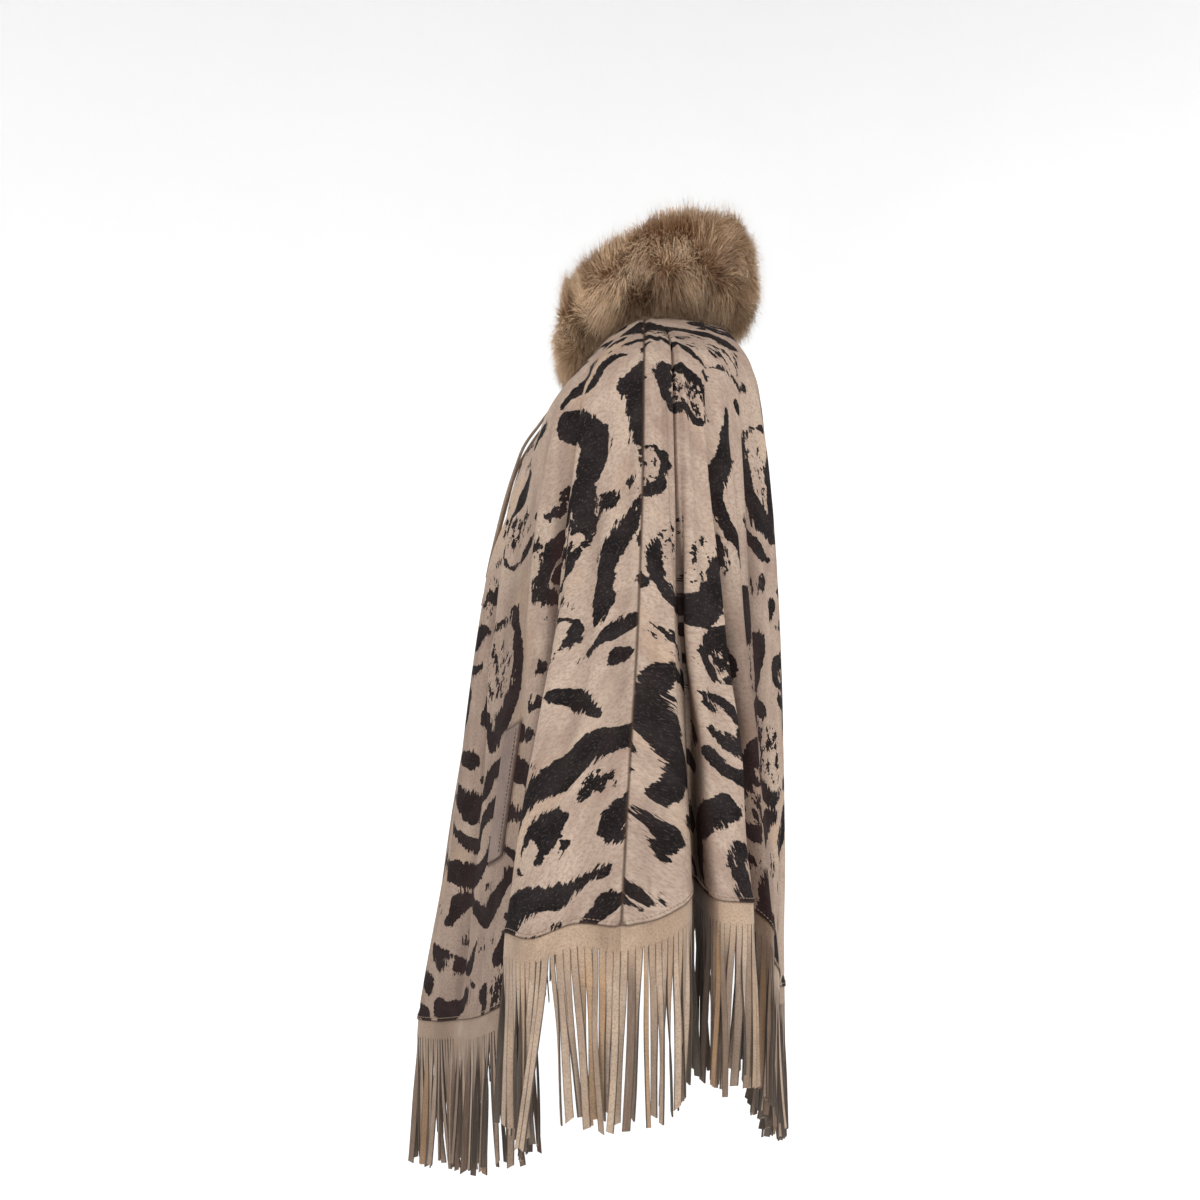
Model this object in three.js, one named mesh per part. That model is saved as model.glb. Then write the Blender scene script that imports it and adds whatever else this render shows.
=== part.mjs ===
// A fringed suede cape with a fur collar, in the hollow shape that it has when it is worn.
// Millimetres, +Z up. The garment faces -Y, and +X is the wearer's left.
// The origin is the middle of the neck base, at the height of the neckline's two side points.
import * as THREE from "three";

// ---------- driving sizes ----------
const WALL = 1.6; // suede
const FRINGE_WALL = 1.3; // slit leather
const SEAM_GAP = 0.3; // between pieces that are sewn to each other
const HEM_GAP = 1.05; // above the fringe, wider because the hem's flats twist in the folds
const STRIP_HEIGHT = 22; // the unslit top of the fringe
const STRAND_PITCH = 8.6; // along the hem
const SLIT_SHARE = 0.16; // of the pitch, open between two strands
const STRAND_UNEVEN = 9; // tips differ by this much
const STRAND_SWAY = 5; // tips swing this much out or in
const STRANDS_PER_COLUMN = 2; // a panel is flat across this many strands
const ROWS_BELOW_ARM = 5; // rows of a panel from the upper-arm ring to the hem
const WELT = { thickness: 2.4, lift: 0.6, columns: 3, rows: 8 }; // lifted clear of the flats
const TIE = { diameter: 4, sides: 8, steps: 22 };

const MATERIALS = {
  suede: { color: "#b79f8a", roughness: 0.95, metalness: 0 },
  fringe: { color: "#b09a86", roughness: 0.85, metalness: 0 },
  fur: { color: "#8f7355", roughness: 1, metalness: 0 },
  smoothLeather: { color: "#96816f", roughness: 0.6, metalness: 0 },
};

// The cape's own rings, from the neckline over the shoulder. Width is half the ring's width at
// the side; front and back are Y on the centre line; each z is the ring's height there.
const RING_COLUMNS = ["name", "down", "width", "front", "back", "zFront", "zSide", "zBack"];
const RING_ROWS = [
  ["neckline", 0, 85, -76, 64, -55, 0, 9],
  ["collar_edge", 0.06, 122, -98, 82, -86, -16, -4],
  ["yoke", 0.12, 163, -116, 95, -109, -34, -24],
  ["shoulder_tip", 0.18, 199, -130, 106, -134, -55, -52],
  ["shoulder_round", 0.215, 213, -138, 110, -157, -78, -77],
  ["upper_arm", 0.255, 220, -143, 113, -180, -108, -104],
];
const SHOULDER_RINGS = RING_ROWS.map((row) =>
  Object.fromEntries(RING_COLUMNS.map((column, i) => [column, row[i]])),
);

// Fold lines, each a straight crease or crest from the upper-arm ring to the hem. Bearing is
// where it leaves the ring, in degrees from centre front; x, y and z are its end on the hem, and
// strand is how far the fringe's strands hang there. Those in front are twisted, so they hang less.
const FOLD_LINES = [
  { name: "centre_front", bearing: 0, x: 0, y: -229, z: -679, strand: 120 },
  { name: "front_keel", bearing: 11, x: 35, y: -211, z: -671, strand: 117 },
  { name: "front_hollow", bearing: 27, x: 90, y: -180, z: -651, strand: 114 },
  { name: "front_crest", bearing: 43, x: 164, y: -145, z: -619, strand: 114 },
  { name: "front_valley", bearing: 56, x: 234, y: -102, z: -566, strand: 118 },
  { name: "arm_front", bearing: 66, x: 299, y: -119, z: -512, strand: 126 },
  { name: "arm_corner", bearing: 73, x: 329, y: -97, z: -508, strand: 127 },
  { name: "arm_notch", bearing: 79, x: 332, y: -68, z: -497, strand: 126 },
  { name: "side_seam", bearing: 85, x: 337, y: -33, z: -497, strand: 126 },
  { name: "arm_back", bearing: 90, x: 340, y: -10, z: -492, strand: 126 },
  { name: "recess_edge", bearing: 93, x: 327, y: 9, z: -486, strand: 124 },
  { name: "recess", bearing: 97, x: 243, y: 26, z: -483, strand: 122 },
  { name: "crest_2_front", bearing: 101, x: 299, y: 42, z: -488, strand: 122 },
  { name: "crest_2_back", bearing: 107, x: 285, y: 67, z: -493, strand: 122 },
  { name: "gully", bearing: 112, x: 221, y: 68, z: -507, strand: 121 },
  { name: "crest_3", bearing: 118, x: 236, y: 88, z: -522, strand: 122 },
  { name: "back_gully", bearing: 128, x: 166, y: 92, z: -558, strand: 122 },
  { name: "back_crest", bearing: 143, x: 114, y: 115, z: -598, strand: 122 },
  { name: "back_hollow", bearing: 160, x: 58, y: 120, z: -628, strand: 122 },
  { name: "centre_back", bearing: 180, x: 0, y: 136, z: -645, strand: 122 },
];
const SIDE_SEAM_LINE = FOLD_LINES.findIndex((line) => line.name === "side_seam");
const LAST_LINE = FOLD_LINES.length - 1;

// The fur roll, as sections from the front end to the centre back of the neck. Bearing as above;
// out and z are the section's middle, and half sizes are across and up.
const FUR_SECTIONS = [
  { name: "front_end", bearing: 13, out: 76, z: -17, halfAcross: 17, halfUp: 31 },
  { name: "front", bearing: 22, out: 79, z: -17, halfAcross: 24, halfUp: 38 },
  { name: "front_side", bearing: 50, out: 84, z: 8, halfAcross: 27, halfUp: 38 },
  { name: "side", bearing: 90, out: 86, z: 46, halfAcross: 28, halfUp: 50 },
  { name: "back_side", bearing: 135, out: 87, z: 52, halfAcross: 27, halfUp: 56 },
  { name: "centre_back", bearing: 180, out: 85, z: 53, halfAcross: 27, halfUp: 59 },
];
const FUR = { sides: 14, stepDegrees: 8, clearance: 0.9 };

// A pocket welt's four corners: line counts fold lines from centre front, down is the level.
const WELT_CORNERS = {
  topFront: { line: 2.94, down: 0.612 },
  topBack: { line: 3.43, down: 0.612 },
  bottomFront: { line: 2.68, down: 0.787 },
  bottomBack: { line: 3.13, down: 0.787 },
};

// The ties, from under the collar down the front. The route is given for the left one.
const TIE_ROUTES = {
  left: [
    [9, -81.4, -58], [8, -90, -65], [7, -101, -78], [7, -110, -90], [6, -118.5, -101], [6, -125, -112],
    [6, -131, -128], [7, -137, -146], [7, -143, -166], [8, -147.5, -184], [8, -149.8, -193.5],
    [8, -152, -203], [9, -156.3, -222], [9, -158.2, -231], [9, -160, -240],
  ],
  right: [
    [-9, -81.4, -58], [-9, -88, -66], [-9, -97, -79], [-9, -108, -92], [-9, -118, -106], [-10, -128, -123],
    [-10, -136, -142], [-11, -141.5, -162], [-11, -147.5, -184], [-11.5, -150.6, -197],
    [-12, -153.5, -210], [-12.5, -156.8, -224], [-13, -160, -238], [-13.5, -163.3, -253],
    [-14, -166.5, -268],
  ],
};

// ---------- the cloth's surface ----------
const radians = THREE.MathUtils.degToRad;

// Value at place of a smooth curve through the rows' values at their knots. Where the curve is
// mirrored at its ends, it meets them level.
function smoothThrough(knots, values, place, levelEnds = false) {
  const last = knots.length - 1;
  let i = 0;
  while (i < last - 1 && place > knots[i + 1]) i++;
  const slope = (k) => {
    if (levelEnds && (k === 0 || k === last)) return 0;
    if (k === 0) return (values[1] - values[0]) / (knots[1] - knots[0]);
    if (k === last) return (values[last] - values[last - 1]) / (knots[last] - knots[last - 1]);
    const before = (values[k] - values[k - 1]) / (knots[k] - knots[k - 1]);
    const after = (values[k + 1] - values[k]) / (knots[k + 1] - knots[k]);
    const share = (knots[k + 1] - knots[k]) / (knots[k + 1] - knots[k - 1]);
    return before * share + after * (1 - share);
  };
  const span = knots[i + 1] - knots[i];
  const s = (place - knots[i]) / span;
  const [s2, s3] = [s * s, s * s * s];
  const fromStart = (2 * s3 - 3 * s2 + 1) * values[i] + (s3 - 2 * s2 + s) * span * slope(i);
  const fromEnd = (3 * s2 - 2 * s3) * values[i + 1] + (s3 - s2) * span * slope(i + 1);
  return fromStart + fromEnd;
}

// A fold line's knot is the distance along the hem from centre front, which keeps curves round.
const LINE_KNOTS = [0];
for (let i = 1; i <= LAST_LINE; i++) {
  const [a, b] = [FOLD_LINES[i - 1], FOLD_LINES[i]];
  LINE_KNOTS.push(LINE_KNOTS[i - 1] + Math.hypot(b.x - a.x, b.y - a.y, b.z - a.z));
}

const HEM_LENGTH = LINE_KNOTS[LAST_LINE];
const SEAM_ALONG = LINE_KNOTS[SIDE_SEAM_LINE];

// The hem's distance from centre front at a place that counts fold lines, such as 3.5.
function knotAt(line) {
  const i = Math.min(Math.floor(line), LAST_LINE - 1);
  return LINE_KNOTS[i] + (line - i) * (LINE_KNOTS[i + 1] - LINE_KNOTS[i]);
}

function hemPoint(along) {
  const column = (name) => FOLD_LINES.map((line) => line[name]);
  const x = smoothThrough(LINE_KNOTS, column("x"), along);
  const y = smoothThrough(LINE_KNOTS, column("y"), along, true);
  const z = smoothThrough(LINE_KNOTS, column("z"), along, true);
  return new THREE.Vector3(x, y, z);
}

// A point of one shoulder ring. Heights run evenly from front to side and from side to back.
function ringPoint(ring, bearing) {
  const [across, ahead] = [Math.sin(bearing), Math.cos(bearing)];
  const end = ahead > 0 ? { y: ring.front, z: ring.zFront } : { y: ring.back, z: ring.zBack };
  const z = ring.zSide + (end.z - ring.zSide) * ahead * ahead;
  return new THREE.Vector3(ring.width * across, end.y * Math.abs(ahead), z);
}

// The outer face at a distance along the hem and a level down: 0 is the neckline, 1 the hem.
// side is 1 on the wearer's left and -1 on the right, and a place past a centre line is mirrored.
function capePoint(along, down, side) {
  if (along < 0) return capePoint(-along, down, -side);
  if (along > HEM_LENGTH) return capePoint(2 * HEM_LENGTH - along, down, -side);
  const bearings = FOLD_LINES.map((line) => line.bearing);
  const bearing = radians(smoothThrough(LINE_KNOTS, bearings, along));
  const points = SHOULDER_RINGS.map((ring) => ringPoint(ring, bearing));
  points.push(hemPoint(along));
  const levels = [...SHOULDER_RINGS.map((ring) => ring.down), 1];
  const at = (axis) => smoothThrough(levels, points.map((point) => point[axis]), down);
  return new THREE.Vector3(side * at("x"), at("y"), at("z"));
}

const PROBE = { along: 0.8, down: 0.003 }; // steps for the numeric normal
const HEM_LEVELLING = 4; // the wall's direction turns level towards the hem, so its edge is flat
function capeNormal(along, down, side) {
  const [a0, a1] = [along - PROBE.along, along + PROBE.along];
  const [d0, d1] = [Math.max(0, down - PROBE.down), Math.min(1, down + PROBE.down)];
  const alongHem = capePoint(a1, down, side).sub(capePoint(a0, down, side));
  const downwards = capePoint(along, d1, side).sub(capePoint(along, d0, side));
  const normal = alongHem.cross(downwards).multiplyScalar(-side).normalize();
  normal.z *= 1 - down ** HEM_LEVELLING;
  return normal.normalize();
}

// ---------- closed solids ----------
// Collects the corners of four-sided faces, turned round for pieces on the mirrored side.
function quadList(turned) {
  const index = [];
  const quad = (a, b, c, d) => {
    if (turned) index.push(a, c, b, a, d, c);
    else index.push(a, b, c, a, c, d);
  };
  return { index, quad };
}

// A wall from two grids of points, outer[row][column] and inner[row][column].
function wallGeometry(outer, inner, turned) {
  const [rows, columns] = [outer.length, outer[0].length];
  const positions = [];
  for (const grid of [outer, inner]) {
    for (const row of grid) for (const point of row) positions.push(point.x, point.y, point.z);
  }
  const out = (r, c) => r * columns + c;
  const inn = (r, c) => rows * columns + r * columns + c;
  const { index, quad } = quadList(turned);
  for (let r = 0; r < rows - 1; r++) {
    for (let c = 0; c < columns - 1; c++) {
      quad(out(r, c), out(r + 1, c), out(r + 1, c + 1), out(r, c + 1));
      quad(inn(r, c), inn(r, c + 1), inn(r + 1, c + 1), inn(r + 1, c));
    }
    quad(out(r, 0), inn(r, 0), inn(r + 1, 0), out(r + 1, 0));
    quad(out(r, columns - 1), out(r + 1, columns - 1), inn(r + 1, columns - 1), inn(r, columns - 1));
  }
  for (let c = 0; c < columns - 1; c++) {
    quad(out(0, c), out(0, c + 1), inn(0, c + 1), inn(0, c));
    quad(out(rows - 1, c), inn(rows - 1, c), inn(rows - 1, c + 1), out(rows - 1, c + 1));
  }
  return closedGeometry(positions, index);
}

function closedGeometry(positions, index) {
  const geometry = new THREE.BufferGeometry();
  geometry.setAttribute("position", new THREE.Float32BufferAttribute(positions, 3));
  geometry.setIndex(index);
  geometry.computeVertexNormals();
  return geometry;
}

function addMesh(group, name, geometry, looks) {
  const mesh = new THREE.Mesh(geometry, new THREE.MeshStandardMaterial(looks));
  mesh.name = name;
  group.add(mesh);
}

// ---------- panels ----------
// Even places round the cape between two distances along the hem, as {along, side}.
function stations(first, last, side) {
  const count = Math.round((last - first) / (STRAND_PITCH * STRANDS_PER_COLUMN));
  const found = [];
  for (let i = 0; i <= count; i++) found.push({ along: first + ((last - first) * i) / count, side });
  return found;
}

// Marks a panel's two side edges, where inwards is the way along the hem that leads into it.
function withEdges(places, inwardsAtStart, inwardsAtEnd) {
  places[0].inwards = inwardsAtStart;
  places[places.length - 1].inwards = inwardsAtEnd;
  return places;
}

// An edge stands back from its seam by half the gap, measured on the cloth at that level.
function seamShift(place, down) {
  if (!place.inwards) return 0;
  const ahead = place.along + place.inwards;
  const rate = capePoint(ahead, down, 1).distanceTo(capePoint(place.along, down, 1));
  return (place.inwards * SEAM_GAP) / 2 / rate;
}

// A panel has a row at each shoulder ring and even rows below them.
const PANEL_LEVELS = SHOULDER_RINGS.map((ring) => ring.down);
const ARM_LEVEL = PANEL_LEVELS[PANEL_LEVELS.length - 1];
for (let i = 1; i <= ROWS_BELOW_ARM; i++) {
  PANEL_LEVELS.push(THREE.MathUtils.lerp(ARM_LEVEL, 1, i / ROWS_BELOW_ARM));
}

function panelGeometry(places, turned) {
  const point = (place, down, depth) => {
    const along = place.along + seamShift(place, down);
    const outer = capePoint(along, down, place.side);
    return outer.addScaledVector(capeNormal(along, down, place.side), -depth);
  };
  const grid = (depth) => PANEL_LEVELS.map((down) => places.map((place) => point(place, down, depth)));
  return wallGeometry(grid(0), grid(WALL), turned);
}

function addPanels(group) {
  for (const [name, side] of [["front_left", 1], ["front_right", -1]]) {
    const places = withEdges(stations(0, SEAM_ALONG, side), 1, -1);
    addMesh(group, name, panelGeometry(places, side < 0), MATERIALS.suede);
  }
  const left = stations(SEAM_ALONG, HEM_LENGTH, 1);
  const right = stations(SEAM_ALONG, HEM_LENGTH, -1).reverse().slice(1);
  const places = withEdges([...left, ...right], 1, 1);
  addMesh(group, "back", panelGeometry(places, false), MATERIALS.suede);
}

// ---------- fringe ----------
// A repeatable number from 0 to 1 for each strand.
function scatter(index, salt) {
  const wave = Math.sin(index * 127.1 + salt * 311.7) * 43758.5453;
  return wave - Math.floor(wave);
}

// Places along the hem where a strand starts and ends. Strands fill each flat of the panel above,
// so the band's top follows those flats.
function strandEdges(first, last, side) {
  const corners = stations(first, last, side);
  const edges = [];
  for (let i = 0; i < corners.length - 1; i++) {
    for (let j = 0; j < STRANDS_PER_COLUMN; j++) {
      for (const share of [j + SLIT_SHARE / 2, j + 1 - SLIT_SHARE / 2]) {
        const [from, to] = [corners[i].along, corners[i + 1].along];
        edges.push({ from, to, share: share / STRANDS_PER_COLUMN, side });
      }
    }
  }
  return edges;
}

// The panel's edge at such a place, which is straight between the panel's columns.
function hemFlat({ from, to, share, side }) {
  const point = capePoint(from, 1, side).lerp(capePoint(to, 1, side), share);
  const normal = capeNormal(from, 1, side).lerp(capeNormal(to, 1, side), share);
  return { point, normal };
}

// The fringe hangs straighter than the panel above it: this share of the panel's slope stays.
const HANG_SLOPE = 0.35;
const SLOPE_PROBE = 0.97; // the level that the slope is taken from

function hangingDirection({ from, to, share, side }) {
  const along = THREE.MathUtils.lerp(from, to, share);
  const slope = capePoint(along, 1, side).sub(capePoint(along, SLOPE_PROBE, side)).normalize();
  return new THREE.Vector3(slope.x * HANG_SLOPE, slope.y * HANG_SLOPE, slope.z).normalize();
}

function strandLength({ from, to, share }) {
  const lengths = FOLD_LINES.map((line) => line.strand);
  return smoothThrough(LINE_KNOTS, lengths, THREE.MathUtils.lerp(from, to, share), true);
}

// A slit band as one closed body: a strip with each strand's root fused into it.
function fringeGeometry(edges, turned, salt) {
  const positions = [];
  const put = (point) => positions.push(point.x, point.y, point.z) / 3 - 1;
  const { index, quad } = quadList(turned);
  const columns = edges.map((place, i) => {
    const strand = Math.floor(i / 2);
    const down = hangingDirection(place);
    const { point: hem, normal } = hemFlat(place);
    const top = hem.clone().addScaledVector(down, HEM_GAP);
    const root = top.clone().addScaledVector(down, STRIP_HEIGHT);
    const length = strandLength(place) + (scatter(strand, salt) - 0.5) * STRAND_UNEVEN;
    const sway = (scatter(strand, salt + 1) - 0.5) * STRAND_SWAY;
    const tip = root.clone().add(new THREE.Vector3(normal.x * sway, normal.y * sway, -length));
    const ends = [top, root, tip].map((point) => {
      const inner = point.clone().addScaledVector(normal, -FRINGE_WALL);
      return { outer: put(point), inner: put(inner) };
    });
    return { top: ends[0], root: ends[1], tip: ends[2] };
  });
  const last = columns.length - 1;
  const endFace = (upper, lower, atStart) => {
    if (atStart) quad(upper.outer, upper.inner, lower.inner, lower.outer);
    else quad(upper.outer, lower.outer, lower.inner, upper.inner);
  };
  endFace(columns[0].top, columns[0].root, true);
  endFace(columns[last].top, columns[last].root, false);
  for (let i = 0; i < last; i++) {
    const [a, b] = [columns[i], columns[i + 1]];
    quad(a.top.outer, a.root.outer, b.root.outer, b.top.outer);
    quad(a.top.inner, b.top.inner, b.root.inner, a.root.inner);
    quad(a.top.outer, b.top.outer, b.top.inner, a.top.inner);
    if (i % 2) {
      quad(a.root.outer, a.root.inner, b.root.inner, b.root.outer);
    } else {
      quad(a.root.outer, a.tip.outer, b.tip.outer, b.root.outer);
      quad(a.root.inner, b.root.inner, b.tip.inner, a.tip.inner);
      quad(a.tip.outer, a.tip.inner, b.tip.inner, b.tip.outer);
      endFace(a.root, a.tip, true);
      endFace(b.root, b.tip, false);
    }
  }
  return closedGeometry(positions, index);
}

const FRONT_FRINGES = [["fringe_front_left", 1, 1], ["fringe_front_right", -1, 5]];
const BACK_FRINGE_SALT = 9;

function addFringes(group) {
  for (const [name, side, salt] of FRONT_FRINGES) {
    const edges = strandEdges(0, SEAM_ALONG, side);
    const geometry = fringeGeometry(edges, side < 0, salt);
    addMesh(group, name, geometry, MATERIALS.fringe);
  }
  const left = strandEdges(SEAM_ALONG, HEM_LENGTH, 1);
  const right = strandEdges(SEAM_ALONG, HEM_LENGTH, -1).reverse();
  const geometry = fringeGeometry([...left, ...right], false, BACK_FRINGE_SALT);
  addMesh(group, "fringe_back", geometry, MATERIALS.fringe);
}

// ---------- fur collar ----------
// The cape's height under a place over the shoulder, from its first rings.
function capeHeightUnder(bearing, out) {
  const rings = SHOULDER_RINGS.map((ring) => {
    const depth = Math.cos(bearing) > 0 ? -ring.front : ring.back;
    return ringPoint(ring, Math.atan2(Math.sin(bearing) / ring.width, Math.cos(bearing) / depth));
  });
  const reach = rings.map((point) => Math.hypot(point.x, point.y));
  const rise = (rings[0].z - rings[1].z) / (reach[1] - reach[0]);
  if (out <= reach[0]) return rings[0].z + rise * (reach[0] - out);
  return smoothThrough(reach, rings.map((point) => point.z), out);
}

function furSection(bearingDegrees) {
  const bearings = FUR_SECTIONS.map((section) => section.bearing);
  const away = Math.abs(bearingDegrees);
  const at = (column) => smoothThrough(bearings, FUR_SECTIONS.map((section) => section[column]), away);
  const section = { out: at("out"), z: at("z"), halfAcross: at("halfAcross"), halfUp: at("halfUp") };
  const bearing = radians(bearingDegrees);
  const ring = [];
  for (let i = 0; i < FUR.sides; i++) {
    const turn = (i / FUR.sides) * Math.PI * 2;
    const out = section.out + section.halfAcross * Math.cos(turn);
    const floor = capeHeightUnder(Math.abs(bearing), out) + FUR.clearance;
    const z = Math.max(section.z + section.halfUp * Math.sin(turn), floor);
    ring.push(new THREE.Vector3(out * Math.sin(bearing), -out * Math.cos(bearing), z));
  }
  return ring;
}

function furGeometry() {
  const first = FUR_SECTIONS[0].bearing;
  const count = Math.round((360 - 2 * first) / FUR.stepDegrees);
  const rings = [];
  for (let i = 0; i <= count; i++) {
    const round = first + ((360 - 2 * first) * i) / count;
    rings.push(furSection(round > 180 ? round - 360 : round));
  }
  const positions = rings.flat().flatMap((point) => [point.x, point.y, point.z]);
  const index = [];
  const id = (ring, i) => ring * FUR.sides + (i % FUR.sides);
  for (let r = 0; r < count; r++) {
    for (let i = 0; i < FUR.sides; i++) {
      index.push(id(r, i), id(r + 1, i), id(r + 1, i + 1), id(r, i), id(r + 1, i + 1), id(r, i + 1));
    }
  }
  for (const [ring, atStart] of [[0, true], [count, false]]) {
    const middle = positions.length / 3;
    const centre = rings[ring].reduce((sum, point) => sum.add(point), new THREE.Vector3());
    centre.divideScalar(FUR.sides);
    positions.push(centre.x, centre.y, centre.z);
    for (let i = 0; i < FUR.sides; i++) {
      if (atStart) index.push(middle, id(ring, i), id(ring, i + 1));
      else index.push(middle, id(ring, i + 1), id(ring, i));
    }
  }
  return closedGeometry(positions, index);
}

// ---------- pocket welts ----------
// A strip that lies on the panel's own points, moved out.
function weltGeometry(side) {
  const { topFront, topBack, bottomFront, bottomBack } = WELT_CORNERS;
  const mix = THREE.MathUtils.lerp;
  const grid = (lift) => {
    const rows = [];
    for (let r = 0; r <= WELT.rows; r++) {
      const fall = r / WELT.rows;
      const row = [];
      for (let c = 0; c <= WELT.columns; c++) {
        const across = c / WELT.columns;
        const upper = mix(topFront.line, topBack.line, across);
        const lower = mix(bottomFront.line, bottomBack.line, across);
        const along = knotAt(mix(upper, lower, fall));
        const down = mix(topFront.down, bottomFront.down, fall);
        const point = capePoint(along, down, side);
        row.push(point.addScaledVector(capeNormal(along, down, side), lift));
      }
      rows.push(row);
    }
    return rows;
  };
  return wallGeometry(grid(WELT.lift + WELT.thickness), grid(WELT.lift), side < 0);
}

// ---------- ties ----------
function tieGeometry(route) {
  const path = new THREE.CatmullRomCurve3(route.map((place) => new THREE.Vector3(...place)));
  const section = new THREE.Shape();
  for (let i = 0; i <= TIE.sides; i++) {
    const turn = (i / TIE.sides) * Math.PI * 2;
    const [x, y] = [(TIE.diameter / 2) * Math.cos(turn), (TIE.diameter / 2) * Math.sin(turn)];
    if (i === 0) section.moveTo(x, y);
    else section.lineTo(x, y);
  }
  return new THREE.ExtrudeGeometry(section, { steps: TIE.steps, extrudePath: path });
}

// ---------- the cape ----------
const cape = new THREE.Group();
addPanels(cape);
addFringes(cape);
addMesh(cape, "fur_collar", furGeometry(), MATERIALS.fur);
addMesh(cape, "pocket_welt_left", weltGeometry(1), MATERIALS.smoothLeather);
addMesh(cape, "pocket_welt_right", weltGeometry(-1), MATERIALS.smoothLeather);
addMesh(cape, "tie_cord_left", tieGeometry(TIE_ROUTES.left), MATERIALS.smoothLeather);
addMesh(cape, "tie_cord_right", tieGeometry(TIE_ROUTES.right), MATERIALS.smoothLeather);

export default cape;
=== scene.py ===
import math

import bpy
import numpy as np
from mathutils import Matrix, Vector


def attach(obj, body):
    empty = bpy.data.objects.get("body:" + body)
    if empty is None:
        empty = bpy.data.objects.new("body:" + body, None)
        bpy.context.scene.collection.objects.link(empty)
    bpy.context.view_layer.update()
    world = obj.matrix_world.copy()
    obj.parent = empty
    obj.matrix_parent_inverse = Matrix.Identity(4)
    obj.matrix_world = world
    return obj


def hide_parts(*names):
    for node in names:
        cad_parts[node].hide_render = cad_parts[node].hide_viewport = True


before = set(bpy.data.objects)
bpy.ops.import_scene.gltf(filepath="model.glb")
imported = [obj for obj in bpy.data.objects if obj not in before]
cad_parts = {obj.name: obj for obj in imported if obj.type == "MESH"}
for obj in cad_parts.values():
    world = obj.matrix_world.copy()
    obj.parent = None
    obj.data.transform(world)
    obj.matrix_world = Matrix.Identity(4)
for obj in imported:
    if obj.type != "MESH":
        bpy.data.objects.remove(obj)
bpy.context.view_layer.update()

MM = 0.001
TURN = 6.28  # a full turn in radians, near enough for a random phase

# ---------- camera ----------
CAMERA_PLACE = (1.2, -0.048, -0.262)  # m, straight out from the wearer's left side
SENSOR = 36  # mm
LENS = 36  # mm
camera_data = bpy.data.cameras.new("photo_camera")
camera_data.sensor_width = SENSOR
camera_data.lens = LENS
camera = bpy.data.objects.new("photo_camera", camera_data)
camera.location = CAMERA_PLACE
camera.rotation_euler = (math.radians(90), 0, math.radians(90))
bpy.context.scene.collection.objects.link(camera)
bpy.context.scene.camera = camera
bpy.context.scene.view_settings.view_transform = "Standard"

# ---------- the cape's sizes, in mm, as in the CAD source unless a line says otherwise ----------
WALL = 1.6
FRINGE_WALL = 1.3
STRIP_HEIGHT = 22
STRAND_PITCH = 5.2  # the scene's strands are finer than the solids'
SLIT_TOP = 16.0  # the uncut strip's height in the scene, where the slits start
STRANDS_PER_COLUMN = 2
HANG_SLOPE = 0.35

# name, down, width, front, back, zFront, zSide, zBack
SHOULDER_RINGS = [
    ("neckline", 0, 85, -76, 64, -55, 0, 9),
    ("collar_edge", 0.06, 122, -98, 82, -86, -16, -4),
    ("yoke", 0.12, 163, -116, 95, -109, -34, -24),
    ("shoulder_tip", 0.18, 199, -130, 106, -134, -55, -52),
    ("shoulder_round", 0.215, 213, -138, 110, -157, -78, -77),
    ("upper_arm", 0.255, 220, -143, 113, -180, -108, -104),
]
# name, bearing, x, y, z, strand
FOLD_LINES = [
    ("centre_front", 0, 0, -229, -679, 120),
    ("front_keel", 11, 35, -211, -671, 117),
    ("front_hollow", 27, 90, -180, -651, 114),
    ("front_crest", 43, 164, -145, -619, 114),
    ("front_valley", 56, 234, -102, -566, 118),
    ("arm_front", 66, 299, -119, -512, 126),
    ("arm_corner", 73, 329, -97, -508, 127),
    ("arm_notch", 79, 332, -68, -497, 126),
    ("side_seam", 85, 337, -33, -497, 126),
    ("arm_back", 90, 340, -10, -492, 126),
    ("recess_edge", 93, 327, 9, -486, 124),
    ("recess", 97, 243, 26, -483, 122),
    ("crest_2_front", 101, 299, 42, -488, 122),
    ("crest_2_back", 107, 285, 67, -493, 122),
    ("gully", 112, 221, 68, -507, 121),
    ("crest_3", 118, 236, 88, -522, 122),
    ("back_gully", 128, 166, 92, -558, 122),
    ("back_crest", 143, 114, 115, -598, 122),
    ("back_hollow", 160, 58, 120, -628, 122),
    ("centre_back", 180, 0, 136, -645, 122),
]
LINE = np.array([row[1:] for row in FOLD_LINES], float)
RING = np.array([row[1:] for row in SHOULDER_RINGS], float)
# name, bearing, out, z, halfAcross, halfUp
FUR_SECTIONS = [
    ("front_end", 13, 76, -17, 17, 31),
    ("front", 22, 79, -17, 24, 38),
    ("front_side", 50, 84, 8, 27, 38),
    ("side", 90, 86, 46, 28, 50),
    ("back_side", 135, 87, 52, 27, 56),
    ("centre_back", 180, 85, 53, 27, 59),
]
SECTION = np.array([row[1:] for row in FUR_SECTIONS], float)
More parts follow.
